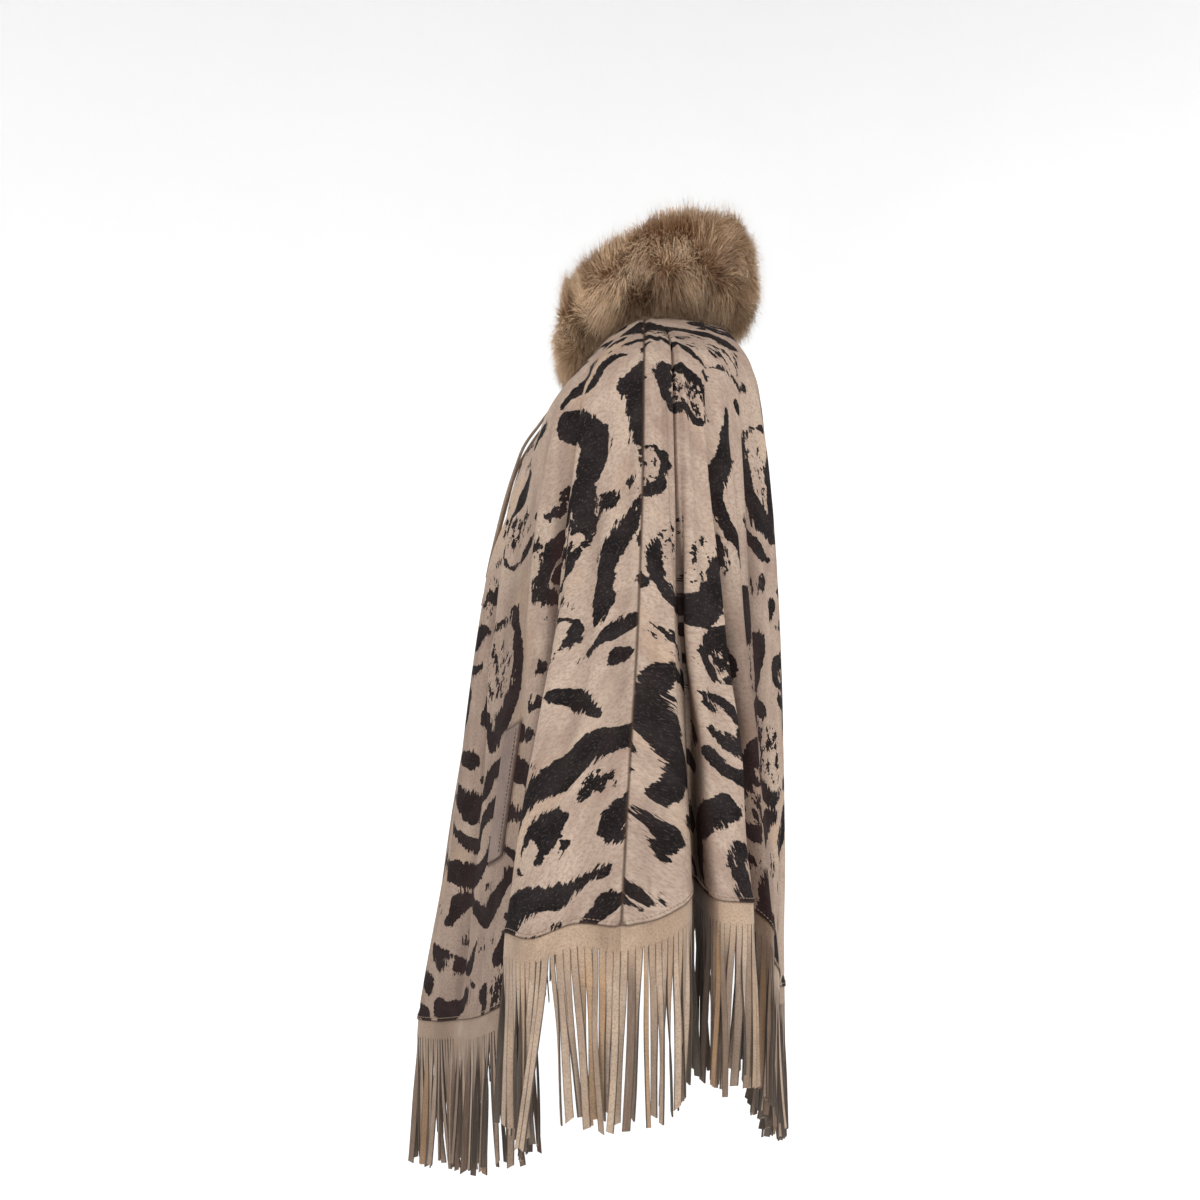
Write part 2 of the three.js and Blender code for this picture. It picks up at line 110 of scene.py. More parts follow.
# line, down
WELT_CORNERS = {
    "top_front": (2.94, 0.612),
    "top_back": (3.43, 0.612),
    "bottom_front": (2.68, 0.787),
    "bottom_back": (3.13, 0.787),
}
WELT_THICKNESS = 2.4
TIE_WIDTH = 4.0
TIE_ROUTES = {
    "left": [
        (9, -81.4, -58), (8, -90, -65), (7, -101, -78), (7, -110, -90), (6, -118.5, -101), (6, -125, -112),
        (6, -131, -128), (7, -137, -146), (7, -143, -166), (8, -147.5, -184), (8, -149.8, -193.5),
        (8, -152, -203), (9, -156.3, -222), (9, -158.2, -231), (9, -160, -240),
    ],
    "right": [
        (-9, -81.4, -58), (-9, -88, -66), (-9, -97, -79), (-9, -108, -92), (-9, -118, -106),
        (-10, -128, -123), (-10, -136, -142), (-11, -141.5, -162), (-11, -147.5, -184),
        (-11.5, -150.6, -197), (-12, -153.5, -210), (-12.5, -156.8, -224), (-13, -160, -238),
        (-13.5, -163.3, -253), (-14, -166.5, -268),
    ],
}


# ---------- the cloth's surface ----------
def smooth_through(knots, values, place, level_ends=False):
    """Value at each place of a smooth curve through the values at the knots."""
    knots, place = np.asarray(knots, float), np.asarray(place, float)
    values = np.asarray(values, float)
    if values.ndim == 1:
        values = values.reshape((-1,) + (1,) * place.ndim)
    values = np.broadcast_to(values, (len(knots),) + place.shape)
    spans = np.diff(knots).reshape((-1,) + (1,) * place.ndim)
    rates = np.diff(values, axis=0) / spans
    share = spans[1:] / (spans[1:] + spans[:-1])
    inside = rates[:-1] * share + rates[1:] * (1 - share)
    first, last = rates[:1], rates[-1:]
    if level_ends:
        first, last = first * 0, last * 0
    slopes = np.concatenate([first, inside, last])
    i = np.clip(np.searchsorted(knots, place, side="right") - 1, 0, len(knots) - 2)
    take = lambda table, k: np.take_along_axis(table, k[None], 0)[0]
    span = knots[i + 1] - knots[i]
    s = (place - knots[i]) / span
    s2, s3 = s * s, s * s * s
    start = (2 * s3 - 3 * s2 + 1) * take(values, i) + (s3 - 2 * s2 + s) * span * take(slopes, i)
    end = (3 * s2 - 2 * s3) * take(values, i + 1) + (s3 - s2) * span * take(slopes, i + 1)
    return start + end


LINE_KNOTS = np.concatenate([[0], np.cumsum(np.linalg.norm(np.diff(LINE[:, 1:4], axis=0), axis=1))])
HEM_LENGTH = LINE_KNOTS[-1]
SEAM_LINE = [row[0] for row in FOLD_LINES].index("side_seam")
SEAM_ALONG = LINE_KNOTS[SEAM_LINE]


def knot_at(line):
    return np.interp(line, np.arange(len(LINE_KNOTS)), LINE_KNOTS)


def ring_height(ring, ahead):
    """The height of a shoulder ring where the cosine of its bearing is ahead."""
    return ring[5] + (np.where(ahead > 0, ring[4], ring[6]) - ring[5]) * ahead**2


def cape_point(along, down, side):
    """The CAD's outer face, in mm. Arrays broadcast against each other."""
    along, down, side = np.broadcast_arrays(*(np.asarray(x, float) for x in (along, down, side)))
    side = np.where((along < 0) | (along > HEM_LENGTH), -side, side)
    along = np.where(along < 0, -along, along)
    along = np.where(along > HEM_LENGTH, 2 * HEM_LENGTH - along, along)
    bearing = np.radians(smooth_through(LINE_KNOTS, LINE[:, 0], along))
    across, ahead = np.sin(bearing), np.cos(bearing)
    x = [ring[1] * across for ring in RING]
    y = [np.where(ahead > 0, ring[2], ring[3]) * np.abs(ahead) for ring in RING]
    z = [ring_height(ring, ahead) for ring in RING]
    x.append(smooth_through(LINE_KNOTS, LINE[:, 1], along))
    y.append(smooth_through(LINE_KNOTS, LINE[:, 2], along, True))
    z.append(smooth_through(LINE_KNOTS, LINE[:, 3], along, True))
    levels = np.append(RING[:, 0], 1)
    at = [smooth_through(levels, np.stack(axis), down) for axis in (x, y, z)]
    return np.stack([side * at[0], at[1], at[2]], axis=-1)


def unit(vectors):
    return vectors / np.maximum(np.linalg.norm(vectors, axis=-1, keepdims=True), 1e-9)


def cape_normal(along, down, side):
    """The way out of the cape, which turns level towards the hem."""
    along, down, side = np.broadcast_arrays(*(np.asarray(x, float) for x in (along, down, side)))
    across = cape_point(along + 0.8, down, side) - cape_point(along - 0.8, down, side)
    fall = cape_point(along, np.minimum(1, down + 0.003), side)
    fall = fall - cape_point(along, np.maximum(0, down - 0.003), side)
    normal = unit(np.cross(across, fall) * -side[..., None])
    normal[..., 2] *= 1 - down**4
    return unit(normal)


# ---------- creases ----------
# A soft trough or ridge from one place to another: line counts fold lines, down is the level,
# width is about half of how wide it is and depth is out from the cloth, both in mm.
# side: 1 wearer's left, -1 right, 0 both.
CREASES = [
    # side, line0, down0, line1, down1, width, depth
    (0, 1.90, 0.02, 1.90, 0.34, 60, -9.0),
    (0, 10.95, 0.11, 11.00, 0.80, 10, -9.0),
    (0, 9.90, 0.16, 9.95, 0.90, 8, 2.6),
    (0, 11.75, 0.14, 12.00, 0.80, 14, 4.6),
    (0, 14.05, 0.20, 14.00, 0.86, 13, -7.5),
    (0, 13.20, 0.24, 13.15, 0.90, 12, 3.4),
    (0, 15.05, 0.24, 15.00, 0.80, 16, 3.4),
    (0, 4.30, 0.20, 4.20, 0.93, 25, -13.0),
    (0, 5.02, 0.20, 5.08, 0.96, 15, 6.5),
    (0, 3.55, 0.22, 3.40, 0.98, 22, 2.6),
    (0, 5.15, 0.23, 5.55, 0.93, 15, 2.6),
    (0, 5.75, 0.30, 6.35, 0.86, 11, -2.7),
    (0, 6.35, 0.22, 6.80, 0.62, 12, 2.2),
    (1, 6.70, 0.52, 6.15, 0.97, 9, 2.4),
    (1, 7.10, 0.16, 7.45, 0.74, 10, -2.0),
    (1, 7.55, 0.55, 7.20, 1.00, 9, -2.6),
    (-1, 6.90, 0.20, 7.35, 0.80, 12, -2.4),
    (-1, 7.45, 0.60, 6.90, 1.00, 10, 2.5),
    (0, 8.35, 0.10, 8.75, 0.58, 9, 1.8),
    (1, 8.90, 0.48, 8.55, 1.00, 7, -2.2),
    (0, 9.65, 0.14, 9.95, 0.85, 8, 2.0),
    (0, 11.95, 0.22, 12.15, 0.97, 9, 2.4),
    (1, 12.60, 0.40, 12.35, 0.88, 7, -1.8),
    (-1, 12.45, 0.34, 12.70, 0.92, 8, -2.1),
    (0, 13.20, 0.18, 13.30, 0.93, 10, 1.6),
    (0, 14.80, 0.24, 15.10, 0.96, 11, 2.2),
    (1, 15.60, 0.28, 15.40, 0.90, 14, -5.6),
    (-1, 15.50, 0.34, 15.85, 1.00, 15, -6.0),
    (0, 16.40, 0.20, 16.65, 0.90, 18, -7.0),
    (1, 17.20, 0.16, 17.50, 0.92, 17, 6.0),
    (-1, 17.50, 0.22, 17.15, 0.94, 18, 6.6),
    (1, 18.30, 0.26, 18.10, 1.00, 20, -7.6),
    (-1, 18.55, 0.20, 18.60, 0.92, 19, -6.8),
    (1, 18.95, 0.34, 18.80, 0.98, 16, 5.0),
    (0, 1.15, 0.24, 1.05, 0.96, 17, 5.2),
    (1, 1.70, 0.32, 1.85, 1.00, 18, -6.6),
    (-1, 1.60, 0.24, 1.95, 0.94, 20, -6.2),
    (1, 0.55, 0.30, 0.60, 0.70, 11, -1.6),
    (0, 2.35, 0.20, 2.20, 0.60, 16, 4.4),
    (-1, 3.55, 0.34, 3.75, 1.00, 17, 4.6),
    (1, 3.62, 0.20, 3.72, 0.94, 15, 4.4),
    (0, 3.60, 0.10, 5.60, 0.24, 22, -1.6),
    (0, 12.40, 0.10, 10.60, 0.22, 20, -1.4),
]


def ease(x):
    x = np.clip(x, 0, 1)
    return x * x * (3 - 2 * x)


def crease_relief(along, down, side):
    """How far the creases move the cloth out, in mm."""
    relief = np.zeros(np.broadcast(along, down, side).shape)
    for k, (which, line0, down0, line1, down1, width, depth) in enumerate(CREASES):
        share = (down - down0) / (down1 - down0)
        meander = 0.10 * np.sin(2.1 * k + 7.0 * share)
        centre = knot_at(line0 + (line1 - line0) * np.clip(share, 0, 1) + meander)
        narrow = 0.75 + 0.5 * np.clip(share, 0, 1)
        across = (along - centre) / (width * narrow)
        ends = ease(share * 3.2 + 0.4) * ease((1 - share) * 3.2 + (0.6 if down1 > 0.99 else 0.1))
        wave = depth * np.exp(-across * across) * ends
        relief += wave if which == 0 else np.where(side == which, wave, 0)
    # the hide's own unevenness
    for k in range(7):
        f = 0.012 + 0.006 * ((k * 5) % 7)
        g = 2.5 + 2.1 * ((k * 3) % 5)
        relief += 0.34 * np.sin(f * along * (1 + 0.2 * side) + g * down * 2 + 1.7 * k + 0.9 * side)
    return relief * ease(down / 0.08)


# Painted shade in the deep folds and over broad stretches of cloth that sit in shade: as above, with how
# dark last.
SHADES = [
    # line0, down0, line1, down1, width, share
    (3.95, 0.16, 4.02, 0.99, 19, 0.54),
    (3.00, 0.14, 3.10, 0.99, 88, 0.33),
    (10.85, 0.10, 10.95, 0.60, 9, 0.30),
    (11.30, 0.40, 11.52, 1.10, 26, 0.60),
    (14.05, 0.24, 14.00, 1.40, 17, 0.46),
    (16.20, 0.20, 16.10, 1.40, 48, 0.40),
    (18.30, 0.26, 18.10, 1.30, 26, 0.22),
    (15.00, 0.30, 15.00, 1.30, 30, 0.40),
    (0.90, 0.24, 1.00, 1.30, 60, 0.29),
]
SHADE_END = 1.22  # the level of the strands' tips


def fold_shade(along, down, side):
    """How much painted shade the folds get, from 0 to 1. Levels past 1 are on the fringe."""
    light = np.ones(np.broadcast(along, down, side).shape)
    for k, (line0, down0, line1, down1, width, share) in enumerate(SHADES):
        fall = np.clip((down - down0) / (down1 - down0), 0, 1)
        centre = knot_at(line0 + (line1 - line0) * fall + 0.05 * np.sin(1.7 * k + 6.0 * fall))
        across = (along - centre) / (width * (0.45 + 0.75 * fall))
        light *= 1 - share * np.exp(-(across**4)) * ease(fall * 2.6) * ease((SHADE_END + 0.1 - down) * 9)
    return 1 - light


WELT_WIDTH = 20.0  # mm, about what its corners give
WELT_HEIGHT = 124.0
WELT_SEAM = 3.0  # mm from its rear edge to its stitches
WELT_SHADE = 0.75
WELT_SHADE_REACH = 6.5  # mm


def welt_place(fall, across):
    """Along and down on a welt: fall counts from its top and across from its front, both 0 to 1."""
    (top_front, top), (top_back, _), (low_front, low), (low_back, _) = WELT_CORNERS.values()
    upper = top_front + (top_back - top_front) * across
    lower = low_front + (low_back - low_front) * across
    return knot_at(upper + (lower - upper) * fall), top + (low - top) * fall


def welt_shadow(along, down):
    """The painted shadow round a pocket's welt, from 0 to 1."""
    top, low = WELT_CORNERS["top_front"][1], WELT_CORNERS["bottom_front"][1]
    fall = (down - top) / (low - top)
    share = np.clip(fall, 0, 1)
    front, rear = welt_place(share, 0)[0], welt_place(share, 1)[0]
    beside = np.maximum(np.maximum(front - along, along - rear), 0)
    beyond = np.abs(fall - share) * WELT_HEIGHT
    return WELT_SHADE * np.exp(-((beside**2 + beyond**2) / WELT_SHADE_REACH**2))


def cloth_point(along, down, side, lift=0.0):
    """A point lifted off the creased outer face, in mm."""
    normal = cape_normal(along, down, side)
    relief = crease_relief(along, down, side) + lift
    return cape_point(along, down, side) + normal * relief[..., None]


# ---------- meshes ----------
def link_mesh(name, points, faces, smooth_angle=0):
    """A smooth mesh from points in mm, sharp where faces meet at more than the angle in degrees."""
    faces = faces if isinstance(faces, list) else faces.tolist()
    mesh = bpy.data.meshes.new(name)
    mesh.from_pydata((np.asarray(points) * MM).tolist(), [], faces)
    mesh.shade_smooth()
    if smooth_angle:
        mesh.set_sharp_from_angle(angle=math.radians(smooth_angle))
    obj = bpy.data.objects.new(name, mesh)
    bpy.context.scene.collection.objects.link(obj)
    return obj


def add_mesh(name, points, faces, smooth_angle=0):
    """A mesh that is a piece of the cape."""
    obj = link_mesh(name, points, faces, smooth_angle)
    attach(obj, "root")
    return obj


def store(obj, name, values):
    """A number for each point, which the material reads."""
    attribute = obj.data.attributes.new(name, "FLOAT", "POINT")
    attribute.data.foreach_set("value", np.ascontiguousarray(values, dtype=np.float32).ravel())


def store_walls(obj, name, outer, inner):
    """A number for each point of the outer wall, and one number for the whole inner wall."""
    outer = np.ravel(outer)
    store(obj, name, np.concatenate([outer, np.full(len(outer), float(inner))]))


def store_uv(obj, flat):
    """The place of each point on the flat cloth, in metres."""
    layer = obj.data.uv_layers.new(name="cloth")
    loops = np.empty(len(obj.data.loops), dtype=np.int32)
    obj.data.loops.foreach_get("vertex_index", loops)
    layer.data.foreach_set("uv", np.ascontiguousarray(flat[loops] * MM, dtype=np.float32).ravel())


def grid_quads(rows, columns, start=0, turned=False):
    r, c = np.meshgrid(np.arange(rows - 1), np.arange(columns - 1), indexing="ij")
    a = start + r * columns + c
    quads = np.stack([a, a + columns, a + columns + 1, a + 1], axis=-1).reshape(-1, 4)
    return quads[:, ::-1] if turned else quads


def edge_quads(line, count):
    """Quads from a line of the outer grid to the same line of the inner one, count points later."""
    return np.stack([line[:-1], line[1:], line[1:] + count, line[:-1] + count], axis=-1)


def wall_faces(rows, columns, turned):
    """A thin wall's outer grid, its inner grid and the quads along its four edges."""
    count = rows * columns
    across, down = np.arange(columns), np.arange(rows) * columns
    walls = [grid_quads(rows, columns, 0, turned), grid_quads(rows, columns, count, not turned)]
    edges = [(across, False), (across + down[-1], True), (down, True), (down + columns - 1, False)]
    for line, closed in edges:
        quads = edge_quads(line, count)
        walls.append(quads if closed == turned else quads[:, ::-1])
    return walls


def tube_faces(rings, corners, turned=False):
    """The quads of a tube of closed rings, and at the end of the list its two caps."""
    near = list(range(corners))
    far = [(rings - 1) * corners + k for k in near]
    faces = []
    for start in range(0, (rings - 1) * corners, corners):
        for k in near:
            n = (k + 1) % corners
            a, b, c, d = (start + m for m in (k, n, corners + n, corners + k))
            faces.append([a, d, c, b] if turned else [a, b, c, d])
    return faces + ([near, far[::-1]] if turned else [near[::-1], far])


# ---------- materials ----------
def linear(rgb):
    """A colour read off the photograph, 0 to 255, as the shader wants it."""
    return tuple(((c / 255 + 0.055) / 1.055) ** 2.4 if c > 10 else c / 255 / 12.92 for c in rgb) + (1,)


class Shader:
    """Short names for the nodes of one material."""

    def __init__(self, name, roughness, specular, sheen=0.0):
        self.material = bpy.data.materials.new(name)
        self.material.use_nodes = True
        self.tree = self.material.node_tree
        self.bsdf = self.tree.nodes["Principled BSDF"]
        self.set(self.bsdf, {"Roughness": roughness, "Specular IOR Level": specular})
        self.set(self.bsdf, {"Sheen Weight": sheen, "Sheen Roughness": 0.5})

    def set(self, node, inputs):
        """Give a node's inputs their numbers, or link them to another node's output."""
        for key, value in inputs.items():
            if hasattr(value, "is_output"):
                self.tree.links.new(value, node.inputs[key])
            elif value is not None:
                node.inputs[key].default_value = value

    def node(self, kind, inputs=None, **settings):
        made = self.tree.nodes.new(kind)
        for key, value in settings.items():
            setattr(made, key, value)
        self.set(made, inputs or {})
        return made

    def cloth(self):
        return self.node("ShaderNodeUVMap", uv_map="cloth").outputs["UV"]

    def place(self):
        return self.node("ShaderNodeTexCoord").outputs["Object"]

    def attribute(self, name):
        return self.node("ShaderNodeAttribute", attribute_name=name).outputs["Fac"]

    def stretched(self, vector, scale, turn=0.0, move=(0, 0, 0)):
        inputs = {"Vector": vector, "Scale": scale, "Rotation": (0, 0, math.radians(turn)), "Location": move}
        return self.node("ShaderNodeMapping", inputs).outputs["Vector"]

    def noise(self, vector, size, detail, rough):
        """Noise with features of about that size in metres."""
        inputs = {"Vector": vector, "Scale": 1 / size, "Detail": detail, "Roughness": rough}
        return self.node("ShaderNodeTexNoise", inputs).outputs["Fac"]

    def maths(self, operation, a, b=0.0):
        return self.node("ShaderNodeMath", {0: a, 1: b}, operation=operation).outputs[0]

    def sum(self, a, b):
        return self.maths("ADD", a, b)

    def times(self, a, b):
        return self.maths("MULTIPLY", a, b)

    def swing(self, noise, reach):
        """The noise as a number from about -reach / 2 to reach / 2."""
        return self.times(self.sum(noise, -0.5), reach)

    def span(self, value, low, high, to_low=0.0, to_high=1.0):
        inputs = {"Value": value, "From Min": low, "From Max": high, "To Min": to_low, "To Max": to_high}
        made = self.node("ShaderNodeMapRange", inputs, clamp=True, interpolation_type="SMOOTHSTEP")
        return made.outputs["Result"]

    def mix(self, share, a, b):
        made = self.node("ShaderNodeMix", {"Factor": share, "A": a, "B": b}, data_type="RGBA")
        return made.outputs["Result"]

    def tint(self, colour, rgb, *span):
        """The colour turned towards rgb by the share that span makes of the other numbers."""
        return self.mix(self.span(*span), colour, linear(rgb))

    def bump(self, height, distance, strength, normal=None):
        inputs = {"Strength": strength, "Distance": distance, "Height": height, "Normal": normal}
        return self.node("ShaderNodeBump", inputs).outputs["Normal"]

    def finish(self, colour, normal=None, roughness=None):
        self.set(self.bsdf, {"Base Color": colour, "Normal": normal, "Roughness": roughness})
        return self.material


def suede_ground(shader, flat):
    """The hide's colour and height, without the print."""
    cloud = shader.noise(flat, 0.11, 3, 0.55)
    nap = shader.noise(shader.stretched(flat, (1, 0.55, 1)), 0.016, 4, 0.6)
    grain = shader.noise(flat, 0.0027, 4, 0.75)
    colour = shader.tint(linear((186, 165, 149)), (164, 142, 129), cloud, 0.36, 0.66)
    colour = shader.tint(colour, (203, 182, 164), nap, 0.38, 0.72, 0, 0.6)
    colour = shader.tint(colour, (138, 115, 99), grain, 0.44, 0.62, 0, 0.52)
    warm = shader.noise(shader.stretched(flat, (1, 0.5, 1), move=(3.1, 1.7, 0)), 0.06, 2, 0.5)
    colour = shader.tint(colour, (200, 164, 124), warm, 0.56, 0.74, 0, 0.28)
    # paler and darker in long streaks down the folds: partly wear, partly painted light and shade of soft
    # folds
    streak = shader.noise(shader.stretched(flat, (1, 0.14, 1), move=(1.3, 0.4, 0)), 0.030, 3, 0.55)
    colour = shader.tint(colour, (150, 125, 109), streak, 0.52, 0.72, 0, 0.42)
    colour = shader.tint(colour, (209, 188, 165), streak, 0.48, 0.28, 0, 0.30)
    height = shader.sum(shader.times(grain, 0.5), nap)
    return colour, height


def printed_suede():
    shader = Shader("printed_suede", 0.95, 0.05)
    flat = shader.cloth()
    colour, height = suede_ground(shader, flat)
    # the print's edge, in mm: crisp in places, dragged like a dry brush in others
    edge = shader.attribute("ink")
    fine = shader.swing(shader.noise(flat, 0.0045, 3, 0.6), 6.0)
    dragged = shader.noise(shader.stretched(flat, (1, 0.16, 1), turn=38), 0.0034, 3, 0.7)
    dragged = shader.swing(dragged, 24.0)
    where = shader.span(shader.noise(flat, 0.038, 2, 0.5), 0.46, 0.60)
    dragged = shader.times(dragged, where)
    lumps = shader.swing(shader.noise(flat, 0.013, 3, 0.6), 8.0)
    reach = shader.sum(shader.sum(shader.sum(edge, fine), lumps), dragged)
    solid = shader.span(reach, -0.35, 0.35)
    # ragged flecks inside the rosettes
    fleck = shader.noise(shader.stretched(flat, (1, 0.6, 1), turn=24), 0.0085, 3, 0.72)
    density = shader.attribute("fleck")
    flecks = shader.span(shader.sum(fleck, shader.times(density, 0.20)), 0.640, 0.655)
    flecks = shader.times(flecks, shader.span(density, 0.02, 0.10))
    print_share = shader.maths("MAXIMUM", solid, flecks)
    # light pin-points where the nap breaks the ink
    pin = shader.noise(flat, 0.0019, 3, 0.75)
    patch = shader.noise(flat, 0.03, 3, 0.6)
    ink = shader.tint(linear((19, 17, 19)), (38, 34, 35), patch, 0.35, 0.65)
    ink = shader.tint(ink, (102, 92, 88), pin, 0.54, 0.68, 0, 0.45)
    colour = shader.mix(shader.times(print_share, 0.985), colour, ink)
    # painted shade from the folds, the crease troughs and round the welts
    colour = shader.mix(shader.attribute("shade"), colour, linear((56, 38, 36)))
    # the sewn edges: a line of painted shade in the seam and small puckers by the stitches
    to_edge = shader.attribute("edge")
    colour = shader.tint(colour, (70, 54, 44), to_edge, 0.2, 2.0, 0.8, 0.0)
    pucker = shader.noise(shader.stretched(flat, (1, 0.35, 1)), 0.0045, 2, 0.5)
    pucker = shader.times(pucker, shader.span(to_edge, 3.0, 13.0, 1.0, 0.0))
    normal = shader.bump(pucker, 0.0022, 0.7)
    normal = shader.bump(height, 0.0006, 0.6, normal)
    return shader.finish(colour, normal)


def flesh_side():
    shader = Shader("flesh_side_suede", 0.97, 0.12, 0.1)
    flat = shader.cloth()
    cloud = shader.noise(flat, 0.05, 4, 0.6)
    grain = shader.noise(flat, 0.0014, 3, 0.7)
    colour = shader.tint(linear((138, 132, 122)), (116, 110, 100), cloud, 0.35, 0.68)
    colour = shader.tint(colour, (92, 86, 78), grain, 0.42, 0.68, 0, 0.4)
    return shader.finish(colour, shader.bump(grain, 0.0005, 0.6))


def fringe_leather(name, light, dark, warm):
    shader = Shader(name, 0.88, 0.22, 0.12)
    flat = shader.cloth()
    tint = shader.attribute("tint")
    streak = shader.noise(shader.stretched(flat, (1, 0.08, 1)), 0.0016, 3, 0.6)
    grain = shader.noise(flat, 0.0016, 3, 0.75)
    cloud = shader.noise(flat, 0.035, 3, 0.6)
    colour = shader.tint(linear(dark), light, tint, 0.0, 1.0)
    colour = shader.tint(colour, warm, shader.attribute("warm"), 0.0, 1.0, 0, 0.75)
    colour = shader.tint(colour, dark, cloud, 0.38, 0.68, 0, 0.35)
    colour = shader.tint(colour, light, streak, 0.45, 0.70, 0, 0.22)
    colour = shader.tint(colour, (112, 90, 74), grain, 0.44, 0.64, 0, 0.42)
    # painted shade from the folds above the fringe, and a little more at random on each strand
    colour = shader.mix(shader.attribute("shade"), colour, linear((66, 48, 39)))
    # the cut edges are darker: partly the cut leather's own edge, partly painted shade between the strands
    rim = shader.maths("ABSOLUTE", shader.attribute("rim"))
    colour = shader.tint(colour, (74, 60, 50), rim, 0.66, 1.0, 0, 0.72)
    height = shader.sum(grain, streak)
    return shader.finish(colour, shader.bump(height, 0.0005, 0.6))


def smooth_leather(name, light, dark, rimmed=False):
    shader = Shader(name, 0.55, 0.30)
    place = shader.place()
    pebble = shader.noise(place, 0.0022, 4, 0.6)
    cloud = shader.noise(place, 0.03, 3, 0.6)
    colour = shader.tint(linear(light), dark, cloud, 0.35, 0.68)
    colour = shader.tint(colour, (192, 168, 148), pebble, 0.50, 0.72, 0, 0.3)
    # painted shade along the welt's edges, where its thickness would cast it
    if rimmed:
        to_edge = shader.attribute("edge")
        colour = shader.tint(colour, (62, 48, 42), to_edge, 0.2, 1.5, 0.75, 0.0)
    rough = shader.span(pebble, 0.3, 0.7, 0.44, 0.62)
    return shader.finish(colour, shader.bump(pebble, 0.0005, 0.5), rough)


def thread(name, light, dark):
    shader = Shader(name, 0.7, 0.3)
    twist = shader.noise(shader.place(), 0.0007, 2, 0.6)
    colour = shader.tint(linear(light), dark, twist, 0.35, 0.65)
    return shader.finish(colour)


def fur(name):
    shader = Shader(name, 0.78, 0.16)
    along = shader.attribute("tip")
    tint = shader.attribute("tint")
    colour = shader.tint(linear((124, 87, 59)), (208, 169, 130), along, 0.0, 0.45)
    colour = shader.tint(colour, (246, 221, 190), along, 0.45, 1.0)
    colour = shader.tint(colour, (112, 77, 52), tint, 0.0, 1.0, 0.78, 0.0)
    fine = shader.noise(shader.place(), 0.004, 2, 0.6)
    colour = shader.tint(colour, (240, 220, 194), fine, 0.40, 0.70, 0, 0.25)
    return shader.finish(colour)


def pelt():
    shader = Shader("pelt", 0.95, 0.1)
    tuft = shader.noise(shader.stretched(shader.place(), (1, 1, 0.4)), 0.004, 4, 0.7)
    colour = shader.tint(linear((98, 72, 52)), (150, 116, 86), tuft, 0.35, 0.65)
    return shader.finish(colour, shader.bump(tuft, 0.004, 0.8))


def studio_white():
    shader = Shader("studio_white", 0.9, 0.1)
    grey = shader.noise(shader.place(), 1.2, 2, 0.5)
    colour = shader.mix(shader.span(grey, 0.3, 0.7), (0.88, 0.88, 0.88, 1), (0.90, 0.90, 0.90, 1))
    # the walls glow a little though they are no lamp: painted light that keeps the backdrop white and softly
    # lights the cape
    shader.set(shader.bsdf, {"Emission Color": (1, 1, 1, 1), "Emission Strength": 0.27})
    return shader.finish(colour)


PRINTED = printed_suede()
FLESH = flesh_side()
FRINGE_OUT = fringe_leather("fringe_leather", (194, 171, 150), (112, 93, 80), (186, 147, 106))
FRINGE_IN = fringe_leather("fringe_flesh_side", (118, 110, 99), (82, 76, 69), (112, 98, 80))
WELT_LEATHER = smooth_leather("welt_leather", (126, 104, 92), (106, 87, 77), True)
LACE_LEATHER = smooth_leather("lace_leather", (136, 116, 99), (112, 94, 80))
THREAD = thread("thread", (168, 146, 124), (116, 96, 80))
WELT_THREAD = thread("welt_thread", (74, 60, 54), (52, 42, 38))


# ---------- ties ----------
TIE_CORNERS = 10
TIE_HALF_THICKNESS = 0.37  # as a share of its width
TIE_TWIST = {"left": 0.9, "right": -1.2}  # radians from end to end


def route_points(route, steps):
    """Even points on the smooth curve through a route."""
    pts = np.array(route, float)
    padded = np.vstack([2 * pts[0] - pts[1], pts, 2 * pts[-1] - pts[-2]])
    found = []
    for i in range(1, len(padded) - 2):
        p0, p1, p2, p3 = padded[i - 1 : i + 3]
        for s in np.arange(0, 1, 0.05):
            a = 2 * p1 + (p2 - p0) * s
            b = (2 * p0 - 5 * p1 + 4 * p2 - p3) * s**2
            found.append((a + b + (3 * p1 - p0 - 3 * p2 + p3) * s**3) / 2)
    found.append(pts[-1])
    found = np.array(found)
    reach = np.concatenate([[0], np.cumsum(np.linalg.norm(np.diff(found, axis=0), axis=1))])
    places = np.linspace(0, reach[-1], steps)
    return np.stack([np.interp(places, reach, found[:, k]) for k in range(3)], axis=1), reach[-1]


for side_name, route in TIE_ROUTES.items():
    centres, length = route_points(route, 90)
    heading = unit(np.gradient(centres, axis=0))
    flat_way = unit(np.cross(heading, np.array([0, -1.0, 0.25])))
    thin_way = np.cross(flat_way, heading)
    turn = np.linspace(0, TIE_TWIST[side_name], len(centres))[:, None]
    wide = flat_way * np.cos(turn) + thin_way * np.sin(turn)
    thin = -flat_way * np.sin(turn) + thin_way * np.cos(turn)
    rings = [
        c + w * TIE_WIDTH / 2 * math.cos(a) + t * TIE_WIDTH * TIE_HALF_THICKNESS * math.sin(a)
        for c, w, t in zip(centres, wide, thin)
        for a in np.arange(TIE_CORNERS) / TIE_CORNERS * 2 * math.pi
    ]
    lace = add_mesh("tie_lace_" + side_name, rings, tube_faces(len(centres), TIE_CORNERS), smooth_angle=50)
    lace.data.materials.append(LACE_LEATHER)
    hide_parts("tie_cord_" + side_name)


# ---------- print ----------
# The print is laid out on each panel's flat cloth, in mm. A motif is a brush stroke: a line of
# points with half a width at each. Long bands come first, as listed, and smaller motifs fill the
# room that they leave.
def stroke_points(points, widths, count=40):
    """A smooth stroke through a few points."""
    knots = np.linspace(0, 1, len(points))
    t = np.linspace(0, 1, count)
    pts = np.array(points, float)
    at = np.stack([smooth_through(knots, pts[:, k], t) for k in range(2)], axis=1)
    half = smooth_through(knots, np.array(widths, float), t)
    return at, half


def ripple(rng, t, waves, height):
    """A wave with a chance start."""
    return height * np.sin(waves * t + rng.uniform(0, 6))


